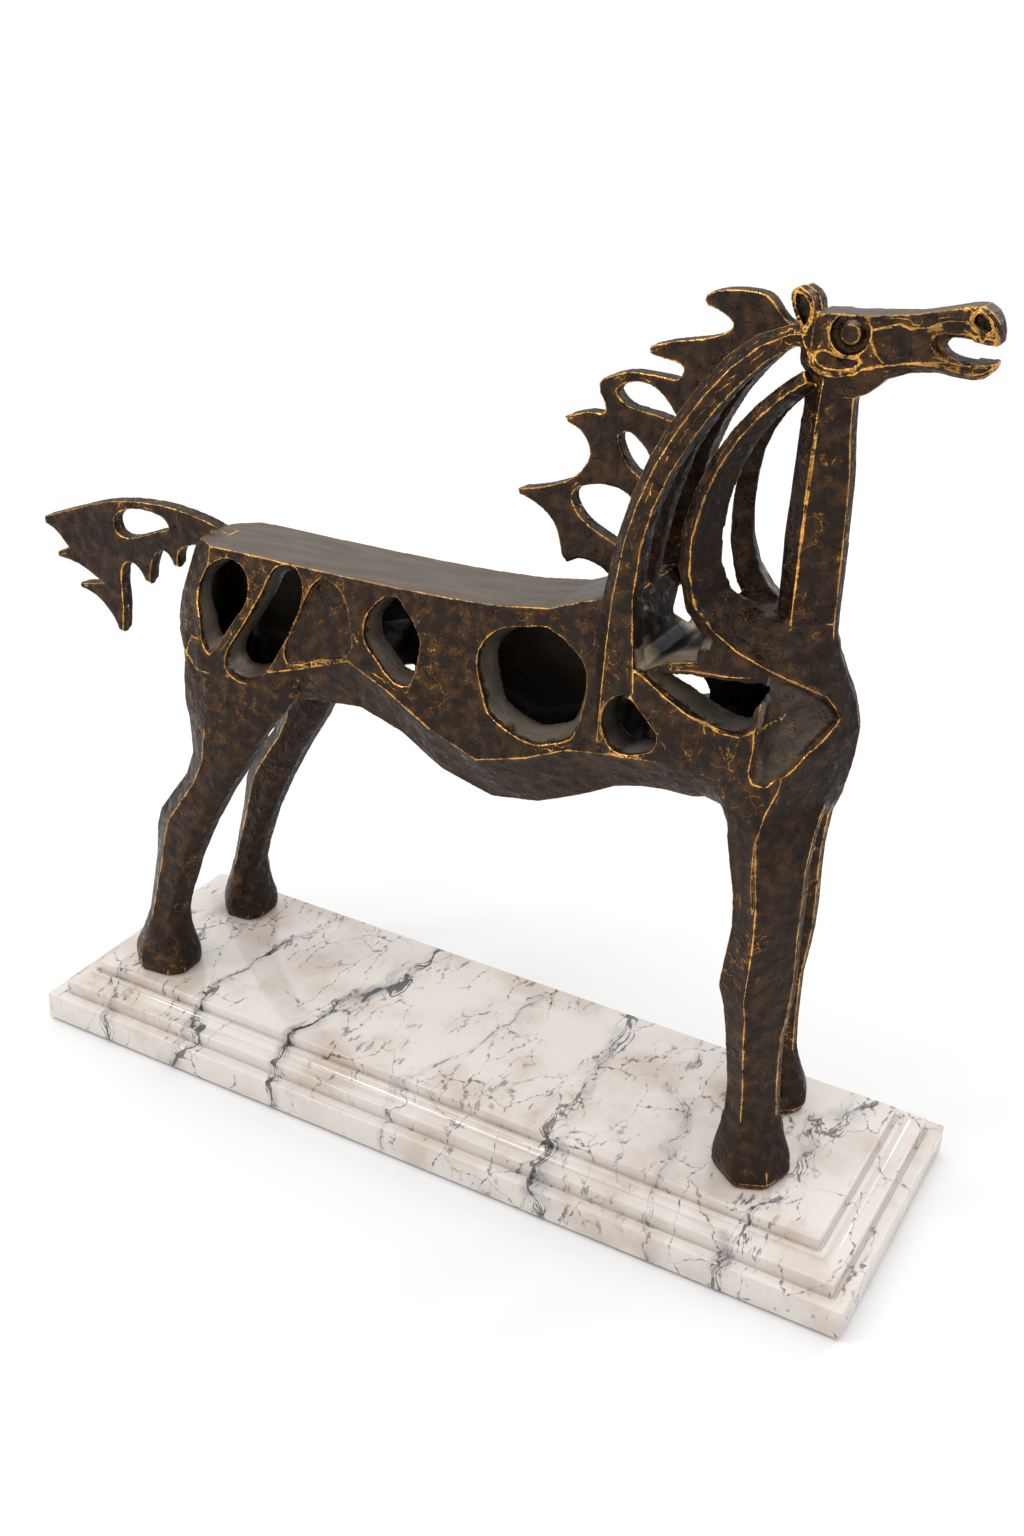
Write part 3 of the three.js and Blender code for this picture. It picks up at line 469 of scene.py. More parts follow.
        warmth = node("TexNoise", net.place, per_mm(self.cloudiness), 4.0, 0.55)
        clouds = node(FADE, warmth, 0.42, 0.72)
        stone = node(BLEND, clouds, linear(self.white), linear(self.cloud))
        smoky = node("TexNoise", stretched, per_mm(16.0), 4.0, 0.6)
        smoke = net.times(haze, node(FADE, smoky, 0.42, 0.66), 0.75)
        stone = node(BLEND, smoke, stone, linear(self.grey))
        stone = node(BLEND, net.times(hair, 0.85), stone, linear(self.brown))
        stone = node(BLEND, net.times(knot, 0.85), stone, linear(self.vein))
        stone = node(BLEND, net.times(strand, 0.92), stone, linear(self.vein))
        dark = net.times(dashes, node("Math MULTIPLY_ADD", haze, 0.3, 0.6))
        stone = node(BLEND, dark, stone, linear(self.vein))
        net.link(Base_Color=stone)
        net.shader.inputs["Roughness"].default_value = self.roughness
        net.shader.inputs["IOR"].default_value = self.ior
        return net.material


@dataclass(frozen=True)
class Patch:
    """A rounded region of the skin with a finish of its own, in millimetres."""

    surface: Surface
    centre: Point
    reach: Point
    strength: float = 1.0

    def amount(self, points: np.ndarray) -> np.ndarray:
        """Strength of the finish at each point, from the middle outwards.

        Args:
            points: Points in millimetres, with y folded on to one side.

        Returns:
            One number for each point, from 0 to the patch's strength.
        """
        away = (points - np.array(self.centre)) / np.array(self.reach)
        squared = np.sum(away * away, axis=1)
        core = 1.35  # over 1, so that the patch has its full strength out to half its reach
        return self.strength * np.clip(core * (1.0 - squared), 0.0, 1.0)


@dataclass(frozen=True)
class Seam:
    """A rubbed line across the skin of either flank, as x and z in millimetres."""

    points: Outline
    strength: float = 1.0


@dataclass(frozen=True)
class Zone:
    """A block across the horse: its spans of x and z and its half width, in millimetres."""

    across_x: tuple[float, float]
    across_z: tuple[float, float]
    half: float

    def holds(self, x: np.ndarray, y: np.ndarray, z: np.ndarray) -> np.ndarray:
        """Tells which points lie within the zone.

        Args:
            x: Places along the horse in millimetres.
            y: Distances from its middle in millimetres.
            z: Heights in millimetres.

        Returns:
            True for each point within.
        """
        (left, right), (low, high) = self.across_x, self.across_z
        return (x > left) & (x < right) & (z > low) & (z < high) & (y < self.half)


@dataclass
class Lines:
    """Points along the rubbed lines in metres, how each line runs there, and how strongly."""

    points: np.ndarray
    runs: np.ndarray
    strengths: np.ndarray
    step: float

    def nearest(self, co: np.ndarray) -> tuple[np.ndarray, np.ndarray]:
        """Finds the nearest line from each of many points.

        Args:
            co: Points in metres.

        Returns:
            The way to the line from each point, in millimetres, and the line's strength.
        """
        tree = KDTree(len(self.points))
        for i, point in enumerate(self.points):
            tree.insert(point, i)
        tree.balance()
        index = np.array([tree.find(point)[1] for point in co])
        away, run = self.points[index] - co, self.runs[index]
        reach = 0.6 * self.step * MM  # a little over half way to the next point
        along = np.clip(np.sum(away * run, axis=1), -reach, reach)
        return (away - along[:, None] * run) / MM, self.strengths[index]

    def settle(self, mesh: bpy.types.Mesh) -> None:
        """Moves the points on to a mesh that has drawn away from them.

        Args:
            mesh: The mesh.
        """
        faces = [face.vertices for face in mesh.polygons]
        tree = BVHTree.FromPolygons([v.co for v in mesh.vertices], faces)
        self.points = np.array([tree.find_nearest(point)[0] for point in self.points])


@dataclass
class Horse:
    """The cast horse: the CAD solid's form with soft arrises, hammer marks and rubbed lines."""

    voxel: float = 1.05
    triangles: int = 185000
    rounding: int = 2
    # An arris is rubbed where it is sharper than this, in degrees, and where more than this share
    # of five rays from it run clear of the horse. Lengths are in millimetres.
    line_angle: float = 24.0
    line_open: float = 0.35
    line_faintest: float = 0.05
    line_far: float = 12.0
    line_step: float = 0.8
    line_lift: float = 0.4
    sight: float = 120.0
    quiet_level: float = 0.3
    facet_size: float = 12.0
    facet_depth: float = 0.75
    facet_rim: float = 0.45
    swell_size: float = 34.0
    swell_depth: float = 0.9
    bead_height: float = 0.4
    bead_width: float = 1.3
    bead_clearance: float = 3.5
    calm_rounds: int = 100
    calm_step: float = 0.6
    # The tips of the mane and the tail, as x and z, and how far around each the plate is rounded.
    tips: Outline = (
        (113.8, 554.5), (83.6, 525.3), (56.5, 502.7), (36.6, 479.8), (8, 432.8), (45, 392.5),
        (-362, 340), (-352, 316), (-334, 298), (-292, 266), (-265.5, 308), (-240.5, 324.5),
    )
    tip_reach: Point = (8.0, 10.0, 8.0)
    leg_span: tuple[float, float] = (190.0, 290.0)
    leg_share: float = 0.45
    plinth_top: float = 44.0
    # The middle line of the hind legs, as z and x. Their fronts are rounded, with no rubbed lines.
    quiet_fronts: Outline = (
        (48, -231), (108, -223), (134, -215), (158, -209),
        (190, -192), (222, -174), (245, -168), (290, -152),
    )
    quiet_width: float = 60.0
    # Sections of the trunk: x, then the height and the half width of its top, flank and belly.
    ribs: tuple[tuple[float, ...], ...] = (
        (-227, 320, 17, 304, 21, 266, 17),
        (-210, 361, 16, 292, 39, 251, 27),
        (-194, 362, 28, 283, 46, 250, 31),
        (-148, 363, 28, 292, 48, 264, 33),
        (-77, 364.5, 28, 318, 46, 281, 31),
        (17, 370, 28, 278, 49, 244, 27),
        (78, 388, 29, 302, 50, 264, 30),
        (101, 395, 32, 306, 50, 277, 31),
    )
    patches: tuple[Patch, ...] = (
        Patch(Surface.PITTED, (-16, 45, 336), (40, 30, 40)),
        Patch(Surface.PITTED, (46, 38, 368), (62, 30, 16)),
        Patch(Surface.PITTED, (-212, 40, 320), (22, 40, 50), 0.6),
        Patch(Surface.PITTED, (-150, 44, 275), (60, 30, 18), 0.7),
        Patch(Surface.PITTED, (-150, 40, 356), (60, 30, 10), 0.6),
        Patch(Surface.PITTED, (222, 12, 552), (60, 20, 30), 0.35),
        Patch(Surface.PITTED, (150, 38, 400), (16, 20, 26), 0.8),
        Patch(Surface.BURNISHED, (222, 12, 552), (62, 24, 32), 0.3),
        Patch(Surface.QUIET, (201.5, 14, 552.5), (10, 6, 10)),
        Patch(Surface.BURNISHED, (201.5, 16, 552.5), (5, 8, 5)),
        Patch(Surface.BURNISHED, (150, 40, 396), (14, 20, 16), 0.8),
        # Painted light: paler patches on the saddle and an opening's inner lip, which lie in shade.
        Patch(Surface.PAINTED_LIGHT, (128, 20, 366), (40, 40, 26)),
        Patch(Surface.PAINTED_LIGHT, (60, 40, 335), (34, 30, 40), 0.5),
        Patch(Surface.CALM, (180, 50, 298), (30, 26, 24)),
        Patch(Surface.QUIET, (196, 20, 350), (42, 60, 58)),
        Patch(Surface.QUIET, (178, 50, 300), (34, 26, 30)),
        Patch(Surface.QUIET, (160, 34, 388), (26, 34, 30)),
        Patch(Surface.QUIET, (142, 46, 355), (32, 24, 17)),
        Patch(Surface.QUIET, (152, 46, 316), (20, 24, 18)),
        Patch(Surface.CALM, (-232, 45, 60), (40, 44, 22)),
        Patch(Surface.CALM, (208, 38, 60), (50, 44, 22)),
        Patch(Surface.QUIET, (-232, 45, 68), (44, 50, 20)),
        Patch(Surface.QUIET, (208, 38, 68), (54, 50, 20)),
        Patch(Surface.PITTED, (-235, 45, 50), (40, 40, 14), 0.7),
        Patch(Surface.PITTED, (212, 36, 50), (40, 40, 14), 0.7),
        Patch(Surface.RIVULETS, (194, 10, 450), (40, 30, 100)),
        Patch(Surface.RIVULETS, (205, 40, 190), (46, 40, 130)),
        Patch(Surface.RIVULETS, (170, 46, 320), (70, 30, 50), 0.8),
        Patch(Surface.RIVULETS, (-190, 44, 280), (60, 40, 60), 0.9),
        Patch(Surface.RIVULETS, (-90, 44, 330), (150, 40, 60), 0.7),
        Patch(Surface.RIVULETS, (100, 40, 400), (40, 30, 90), 0.6),
        Patch(Surface.RIVULETS, (-215, 45, 130), (50, 40, 110), 0.5),
    )
    seams: tuple[Seam, ...] = (
        Seam(((143, 413), (146, 405), (152, 399), (157, 393), (171, 383.5), (184, 377), (197, 370),
              (209, 364.5), (216, 359.5), (221, 353), (223.5, 347), (222.5, 342))),
        Seam(((188, 356), (188, 343), (188.5, 330), (188.5, 319), (191, 313), (199, 313),
              (208, 321), (214, 329.5), (219.5, 336.5), (222.5, 342)), 0.9),
        Seam(((113, 366), (118, 363.5), (136, 366), (150, 368.5), (168, 369.5), (180, 371)), 0.8),
        Seam(((121, 359), (135, 350.5), (151, 343.5), (169, 337.5), (181, 338.5), (187, 343))),
        Seam(((187, 560), (197, 561), (211, 562), (227, 565), (248, 570), (263, 573)), 0.8),
        Seam(((177, 546), (182, 535), (186, 531), (193, 530), (206, 533), (211, 537), (231, 542),
              (251, 545.5), (269, 547))),
        Seam(((208.5, 558.5), (212, 556), (217, 558), (225, 560.5), (231, 559), (238, 560.5),
              (248.5, 565), (259, 566.5)), 0.9),
        Seam(((242, 554), (242, 557), (248, 559), (257, 560), (266, 560), (273, 559))),
        Seam(((242, 554), (244, 549), (252, 546.5), (260, 545))),
        Seam(((212, 555), (213.5, 549), (216, 544), (220, 540.5)), 0.7),
        Seam(((184.5, 541), (189.5, 543), (198, 541.5), (206.5, 543), (209, 540)), 0.9),
        Seam(((191, 507), (190.5, 480), (190, 450), (190, 415)), 0.8),
        Seam(((206, 318), (201, 298), (198, 278), (199, 253), (202, 237)), 0.8),
    )
    panels: tuple[Outline, ...] = (
        ((188, 373), (197, 368.5), (208, 363.5), (215, 357), (219.5, 351.5), (221.5, 347),
         (220.5, 342.5), (214, 334), (208, 323), (199, 315), (191, 315), (190, 320), (190, 343),
         (189, 356)),
        ((213.4, 548.9), (216, 543.7), (219.7, 540.5), (233, 544.3), (233.8, 551.8),
         (232, 558.3), (228, 560.5), (213.8, 557.2)),
    )
    panel_depth: float = 1.7
    panel_edge: float = 2.4
    # How far a painted sheen lightens the sunk breast panel towards the smooth parts' grey brown.
    panel_painted_sheen: float = 0.3
    breast_top: float = 420.0
    # Spans of x: the trunk, and what lies hollow within it, where painted shade darkens the inside.
    trunk: tuple[float, float] = (-222.0, 96.0)
    hollow: tuple[float, float] = (-222.0, 190.0)
    hollow_from: float = 11.0
    hollow_fade: float = 9.0
    # Where the casting was smoothed with a file besides its back; upward faces there are partly
    # painted light.
    saddle: Zone = Zone((96, 158), (352, 388), 44)
    reveals: Zone = Zone((94, 190), (300, 372), 46)
    brow: Zone = Zone((176, 400), (556, 700), 100)
    eye: tuple[float, float] = (201.5, 552.5)
    eye_ring: float = 4.9
    eye_parts: int = 16
    mark_start: tuple[float, float] = (190.5, 342.5)
    mark_step: tuple[float, float] = (1.8, 0.9)
    mark_stroke: tuple[float, float] = (0.5, 1.8)
    mark_strokes: int = 5

    def solid(self) -> bmesh.types.BMesh:
        """Reads the CAD solid.

        Returns:
            A joined copy, in metres.
        """
        work = bmesh.new()
        work.from_mesh(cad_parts["horse"].data)
        bmesh.ops.remove_doubles(work, verts=work.verts, dist=0.01 * MM)
        return work

    def modified(self, mesh: bpy.types.Mesh, kind: str, **settings: Any) -> bpy.types.Mesh:
        """Runs one modifier over a mesh.

        Args:
            mesh: The mesh to work on, which is used up.
            kind: The modifier's type.
            **settings: The modifier's own properties.

        Returns:
            The mesh that the modifier makes.
        """
        holder = bpy.data.objects.new("work", mesh)
        bpy.context.scene.collection.objects.link(holder)
        modifier = holder.modifiers.new(kind, kind)
        for name, value in settings.items():
            setattr(modifier, name, value)
        graph = bpy.context.evaluated_depsgraph_get()
        made = bpy.data.meshes.new_from_object(holder.evaluated_get(graph))
        bpy.data.objects.remove(holder)
        bpy.data.meshes.remove(mesh)
        return made

    def exposed(self, work: bmesh.types.BMesh, tree: BVHTree) -> list[Run]:
        """Finds the arrises that hands and tools reach.

        Args:
            work: The solid, with its flat faces joined.
            tree: The same solid, to be struck by rays.

        Returns:
            Both ends of each arris, and how strongly it is rubbed.
        """
        runs: list[Run] = []
        for edge in work.edges:
            if len(edge.link_faces) != 2:
                continue
            angle = math.degrees(edge.calc_face_angle_signed(0.0))
            if angle < self.line_angle:
                continue
            outward = (edge.link_faces[0].normal + edge.link_faces[1].normal).normalized()
            a, b = (v.co for v in edge.verts)
            middle = (a + b) / 2 + outward * self.line_lift * MM
            quiet = self.patch_field(np.array([middle]), Surface.QUIET)[0]
            if quiet > self.quiet_level or self.worn_smooth(middle):
                continue
            along = (b - a).normalized()
            across = along.cross(outward)
            rays = [outward, outward + along, outward - along, outward + across, outward - across]
            hits = [tree.ray_cast(middle, ray.normalized(), self.sight * MM)[0] for ray in rays]
            free = sum(hit is None for hit in hits) / len(rays)
            strength = min(1.0, max(0.0, free - self.line_open) / 0.5)
            strength *= min(1.0, 0.4 + (angle - self.line_angle) / 35)
            if strength >= self.line_faintest:
                runs.append((a.copy(), b.copy(), strength))
        return runs

    def drawn(self, tree: BVHTree) -> list[Run]:
        """Lays the seams, the breast's mark and the eyes' rings on the skin of both flanks.

        Args:
            tree: The solid, to be struck by rays.

        Returns:
            Both ends of each part of a line, and how strongly it is rubbed.
        """
        runs: list[Run] = []
        for side in (-1, 1):
            for seam in (*self.seams, *self.mark(), self.ring()):
                found = [self.struck(tree, side, *point) for point in seam.points]
                pairs = [pair for pair in zip(found, found[1:]) if None not in pair]
                runs.extend((a, b, seam.strength) for a, b in pairs)
        return runs

    def rubbed_lines(self, work: bmesh.types.BMesh) -> Lines:
        """Finds where the bronze is rubbed: along the exposed arrises and the drawn lines.

        Args:
            work: The joined solid.

        Returns:
            Points along the lines.
        """
        tree = BVHTree.FromBMesh(work)
        flat = math.radians(2)
        bmesh.ops.dissolve_limit(work, angle_limit=flat, verts=work.verts, edges=work.edges)
        points, ways, strengths = [], [], []
        for a, b, strength in (*self.exposed(work, tree), *self.drawn(tree)):
            steps = max(1, round((b - a).length / (self.line_step * MM)))
            for i in range(steps + 1):
                points.append(a.lerp(b, i / steps))
                ways.append((b - a).normalized())
                strengths.append(strength)
        return Lines(np.array(points), np.array(ways), np.array(strengths), self.line_step)

    def worn_smooth(self, place: Vector) -> bool:
        """Tells whether a place lies on the rounded front half of a hind leg.

        Args:
            place: The place in metres.

        Returns:
            True where it does.
        """
        levels, middles = np.array(self.quiet_fronts).T
        x, z = place.x / MM, place.z / MM
        ahead = x - np.interp(z, levels, middles)
        return levels[0] < z < levels[-1] and 0 < ahead < self.quiet_width

    def struck(self, tree: BVHTree, side: int, x: float, z: float) -> Vector | None:
        """The skin's outermost point at x and z, in millimetres, on one flank.

        Args:
            tree: The solid.
            side: -1 for the near flank and 1 for the far one.
            x: Place along the horse.
            z: Height.

        Returns:
            The point in metres, or nothing where there is no skin.
        """
        well_outside = 0.3
        start = Vector((x * MM, side * well_outside, z * MM))
        return tree.ray_cast(start, Vector((0.0, -side, 0.0)))[0]

    def mark(self) -> list[Seam]:
        """Draws a row of short slanting strokes stamped in the breast's panel.

        Returns:
            The strokes.
        """
        (x, z), (wide, high) = self.mark_start, self.mark_stroke
        strokes = []
        for i in range(self.mark_strokes):
            left, low = x + self.mark_step[0] * i, z + self.mark_step[1] * i
            strokes.append(Seam(((left, low), (left + wide, low + high)), 0.5))
        return strokes

    def ring(self) -> Seam:
        """Draws the rubbed edge of the ring around an eye.

        Returns:
            The closed ring.
        """
        (x, z), radius = self.eye, self.eye_ring
        turns = [2 * math.pi * i / self.eye_parts for i in range(self.eye_parts + 1)]
        places = ((x + radius * math.cos(t), z + radius * math.sin(t)) for t in turns)
        return Seam(tuple(places), 0.4)

    def arris_fields(
        self, co: np.ndarray, lines: Lines
    ) -> tuple[np.ndarray, np.ndarray, np.ndarray]:
        """Measures the way to the nearest rubbed line from each point.

        Args:
            co: Points in metres.
            lines: The rubbed lines.

        Returns:
            The way there and the distance in millimetres, the latter no further than the
            farthest that counts, and the line's strength.
        """
        away, strength = lines.nearest(co)
        return away, np.minimum(np.linalg.norm(away, axis=1), self.line_far), strength

    def calmed(self, mesh: bpy.types.Mesh) -> None:
        """Smooths the calm patches, where the castings' parts flow into each other.

        Args:
            mesh: The dense mesh, changed in place.
        """
        co, _ = self.arrays(mesh)
        above = np.clip((co[:, 2] / MM - self.plinth_top - 2.0) / 4.0, 0.0, 1.0)
        calm = self.patch_field(co, Surface.CALM)
        for x, z in self.tips:
            tip = Patch(Surface.CALM, (x, 0.0, z), self.tip_reach)
            calm = np.maximum(calm, tip.amount(co / MM))
        weight = np.column_stack([calm, calm, calm * above])
        ends = np.empty(2 * len(mesh.edges), dtype=np.int64)
        mesh.edges.foreach_get("vertices", ends)
        a, b = ends.reshape(-1, 2).T
        kept = (weight[a, 0] > 0) | (weight[b, 0] > 0)
        a, b = a[kept], b[kept]
        beside = np.bincount(a, minlength=len(co)) + np.bincount(b, minlength=len(co))
        count = np.maximum(beside, 1)[:, None]
        for _ in range(self.calm_rounds):
            sums = [
                np.bincount(a, co[b, k], len(co)) + np.bincount(b, co[a, k], len(co))
                for k in range(3)
            ]
            co += self.calm_step * weight * (np.column_stack(sums) / count - co)
        mesh.vertices.foreach_set("co", co.ravel())
        mesh.update()

    def single(self, mesh: bpy.types.Mesh) -> None:
        """Drops the flecks that the remesh leaves cut off from the casting.

        Args:
            mesh: The finished mesh, changed in place.
        """
        work = bmesh.new()
        work.from_mesh(mesh)
        left, islands = set(work.verts), []
        while left:
            newest = [left.pop()]
            island = list(newest)
            while newest:
                near = {e.other_vert(v) for v in newest for e in v.link_edges} & left
                left -= near
                newest = list(near)
                island.extend(near)
            islands.append(island)
        islands.sort(key=len)
        flecks = [v for island in islands[:-1] for v in island]
        bmesh.ops.delete(work, geom=flecks, context="VERTS")
        work.to_mesh(mesh)
        work.free()
        log.info("horse: %d loose points dropped", len(flecks))

    def section(self, x: np.ndarray) -> list[np.ndarray]:
        """Reads the trunk's section off its ribs.

        Args:
            x: Places along the horse in millimetres.

        Returns:
            The height and the half width of the top, the flank and the belly at each place.
        """
        rows = np.array(self.ribs)
        return [np.interp(x, rows[:, 0], rows[:, i]) for i in range(1, 7)]

    def skin_mask(self, co: np.ndarray, normals: np.ndarray) -> np.ndarray:
        """Tells the hammered skin from the smoothed back, saddle and reveals.

        Args:
            co: Points in metres.
            normals: The surface's direction at each.

        Returns:
            1 on the hammered skin and 0 where it was smoothed with a file; there the lighter colour
            of the upward faces is partly painted light from above.
        """
        x, y, z = co[:, 0] / MM, np.abs(co[:, 1]) / MM, co[:, 2] / MM
        top, back, flank_z, flank, belly_z, belly = self.section(x)
        up = np.clip((z - flank_z) / np.maximum(top - flank_z, 1), 0, 1)
        down = np.clip((flank_z - z) / np.maximum(flank_z - belly_z, 1), 0, 1)
        upper, lower = flank + up * (back - flank), flank + down * (belly - flank)
        half = np.where(z > flank_z, upper, lower)
        tail_end, breast_end = self.trunk
        trunk = (x > tail_end) & (x < breast_end) & (z > belly_z + 3) & (z < top + 3)
        facing = normals[:, 1] * np.sign(co[:, 1])
        sunk = (facing > 0.6) & (y > half - 8)
        inside = trunk & (y < half - 2.2) & ~((z < flank_z - 6) & (x < -110)) & ~sunk
        above = trunk & (normals[:, 2] > 0.75) & (z > top - 4)
        saddle = self.saddle.holds(x, y, z) & (normals[:, 2] > 0.45)
        reveals = self.reveals.holds(x, y, z) & (np.abs(normals[:, 1]) < 0.55)
        brow = self.brow.holds(x, y, z) & (normals[:, 2] > 0.75)
        # The smooth parts; the lighter colour they get on the upward back, saddle and brow is
        # partly painted light.
        smooth = inside | above | saddle | reveals | brow
        return 1.0 - smooth.astype(float)

    def hollow_shade_field(self, co: np.ndarray) -> np.ndarray:
        """How deep inside the trunk each point lies, for the painted shade there: 0 at the skin and
        1 well within.

        Args:
            co: Points in metres.

        Returns:
            One number for each point.
        """
        x, y, z = co[:, 0] / MM, np.abs(co[:, 1]) / MM, co[:, 2] / MM
        top, back, flank_z, flank, belly_z, _ = self.section(x)
        up = np.clip((z - flank_z) / np.maximum(top - flank_z, 1), 0, 1)
        half = flank + up * (back - flank)
        within = np.minimum(half - y, np.minimum(top - z, z - belly_z))
        span = (x > self.hollow[0]) & (x < self.hollow[1])
        depth = np.clip((within - self.hollow_from) / self.hollow_fade, 0.0, 1.0)
        return np.where(span, depth, 0.0)

    def panel_field(self, co: np.ndarray) -> np.ndarray:
        """How deep each point lies in the sunk panels of the breast and the cheek.

        Args:
            co: Points in metres.

        Returns:
            1 within a panel, falling to 0 at its edge.
        """
        x, z = co[:, 0] / MM, co[:, 2] / MM
        sunk = np.zeros(len(co))
        for outline in self.panels:
            inside = np.zeros(len(co), dtype=bool)
            away = np.full(len(co), np.inf)
            for (ax, az), (bx, bz) in zip(outline, (*outline[1:], outline[0])):
                run, rise = bx - ax, bz - az
                if rise:
                    inside ^= ((z < az) != (z < bz)) & (x < ax + (z - az) * run / rise)
                along = ((x - ax) * run + (z - az) * rise) / (run**2 + rise**2)
                along = np.clip(along, 0, 1)
                away = np.minimum(away, np.hypot(x - ax - along * run, z - az - along * rise))
            share = np.clip(away / self.panel_edge, 0.0, 1.0)
            sunk = np.maximum(sunk, inside * share * share * (3.0 - 2.0 * share))
        return sunk

    def patch_field(self, co: np.ndarray, surface: Surface) -> np.ndarray:
        """Strength of one kind of patch at each point.

        Args:
            co: Points in metres.
            surface: The kind of patch.

        Returns:
            One number from 0 to 1 for each point.
        """
        folded = np.column_stack([co[:, 0], np.abs(co[:, 1]), co[:, 2]]) / MM
        total = np.zeros(len(co))
        for patch in self.patches:
            if patch.surface is surface:
                total = np.maximum(total, patch.amount(folded))
        return total

    def hammer(self, mesh: bpy.types.Mesh, lines: Lines) -> None:
        """Works the skin: shallow dishes, a slow swell, and a low bead along the rubbed lines.

        Args:
            mesh: The dense mesh, changed in place.
            lines: The rubbed lines.
        """
        co, normals = self.arrays(mesh)
        skin = self.skin_mask(co, normals)
        _, distance, strength = self.arris_fields(co, lines)
        millimetres = co / MM
        dishes = np.empty(len(co))
        for i, point in enumerate(millimetres / self.facet_size):
            near = noise.voronoi(Vector(point))[0]
            dishes[i] = min(near[1] - near[0], self.facet_rim)
        swell = np.array([noise.noise(Vector(p)) for p in millimetres / self.swell_size])
        depth = -self.facet_depth * (dishes / self.facet_rim - 0.5) + self.swell_depth * swell
        away = np.clip(distance / self.bead_clearance, 0.15, 1.0)
        bead = self.bead_height * strength * np.exp(-((distance / self.bead_width) ** 2))
        sole = np.clip((millimetres[:, 2] - self.plinth_top - 1.0) / 6.0, 0.0, 1.0)
        outer = np.clip((np.abs(millimetres[:, 1]) - 6.0) / 4.0, 0.0, 1.0)
        facing = np.clip(normals[:, 1] * np.sign(co[:, 1]) * 2.0, 0.0, 1.0)
        sunk = self.panel_depth * self.panel_field(co) * outer * facing
        depth *= np.interp(millimetres[:, 2], self.leg_span, (self.leg_share, 1.0))
        move = (depth * away * (0.2 + 0.8 * skin) + bead - sunk) * sole
        mesh.vertices.foreach_set("co", (co + normals * move[:, None] * MM).ravel())
        mesh.update()

    def arrays(self, mesh: bpy.types.Mesh) -> tuple[np.ndarray, np.ndarray]:
        """Reads a mesh's points.

        Args:
            mesh: The mesh.

        Returns:
            The points in metres, and the surface's direction at each.
        """
        co = np.empty(len(mesh.vertices) * 3)
        mesh.vertices.foreach_get("co", co)
        normals = np.empty(len(mesh.vertices) * 3)
        mesh.vertex_normals.foreach_get("vector", normals)
        return co.reshape(-1, 3), normals.reshape(-1, 3)

    def dress(self, mesh: bpy.types.Mesh, lines: Lines) -> None:
        """Writes the attributes that the bronze reads.

        Args:
            mesh: The finished mesh.
            lines: The rubbed lines.
        """
        co, normals = self.arrays(mesh)
        away, distance, strength = self.arris_fields(co, lines)
        skin = self.skin_mask(co, normals)
        # Painted sheen: the sunk breast panel moves part way to the lighter smooth colour, with
        # gentler hammering.
        painted_sheen = self.panel_painted_sheen * self.panel_field(co) * (co[:, 2] < self.breast_top * MM)
        turned_in = np.clip(1.6 - 2.0 * np.abs(normals[:, 1]), 0.0, 1.0)
        fields = {
            "arris": distance,
            "rub": strength,
            "skin": skin * (1.0 - painted_sheen),
            # Painted shade, and more roughness, on the ends that face along the horse rather than
            # up or sideways.
            "rough_shaded_ends": skin * turned_in * (normals[:, 2] < 0.5),
            **{surface.value: self.patch_field(co, surface) for surface in DRAWN},
            "hollow": self.hollow_shade_field(co),
        }
        ways = mesh.attributes.new("to_line", "FLOAT_VECTOR", "POINT")
        ways.data.foreach_set("vector", away.astype(np.float32).ravel())
        for name, values in fields.items():
            layer = mesh.attributes.new(name, "FLOAT", "POINT")
            layer.data.foreach_set("value", values.astype(np.float32))

    def build(self, bronze: bpy.types.Material) -> bpy.types.Object:
        """Makes the horse from the CAD solid.

        Args:
            bronze: The finish.

        Returns:
            The finished piece, which stands for the CAD node.
        """
        voxel = self.voxel * 1.0
        work = self.solid()
        mesh = bpy.data.meshes.new("horse_work")
        work.to_mesh(mesh)
        lines = self.rubbed_lines(work)
        work.free()
        mesh = self.modified(mesh, "REMESH", mode="VOXEL", voxel_size=voxel * MM)
        mesh = self.modified(mesh, "SMOOTH", factor=0.5, iterations=self.rounding)
        log.info("horse: %d points after the remesh", len(mesh.vertices))
        self.calmed(mesh)
        lines.settle(mesh)
        self.hammer(mesh, lines)
        triangles = 2 * len(mesh.polygons)
        if triangles > self.triangles:
            mesh = self.modified(mesh, "DECIMATE", ratio=self.triangles / triangles)
        self.single(mesh)
        lines.settle(mesh)
        self.dress(mesh, lines)
        mesh.polygons.foreach_set("use_smooth", [True] * len(mesh.polygons))
        mesh.materials.clear()
        mesh.materials.append(bronze)
        mesh.name = "cast_horse"
        horse = bpy.data.objects.new("cast_horse", mesh)
        bpy.context.scene.collection.objects.link(horse)
        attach(horse, "root")
        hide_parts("horse")
        return horse


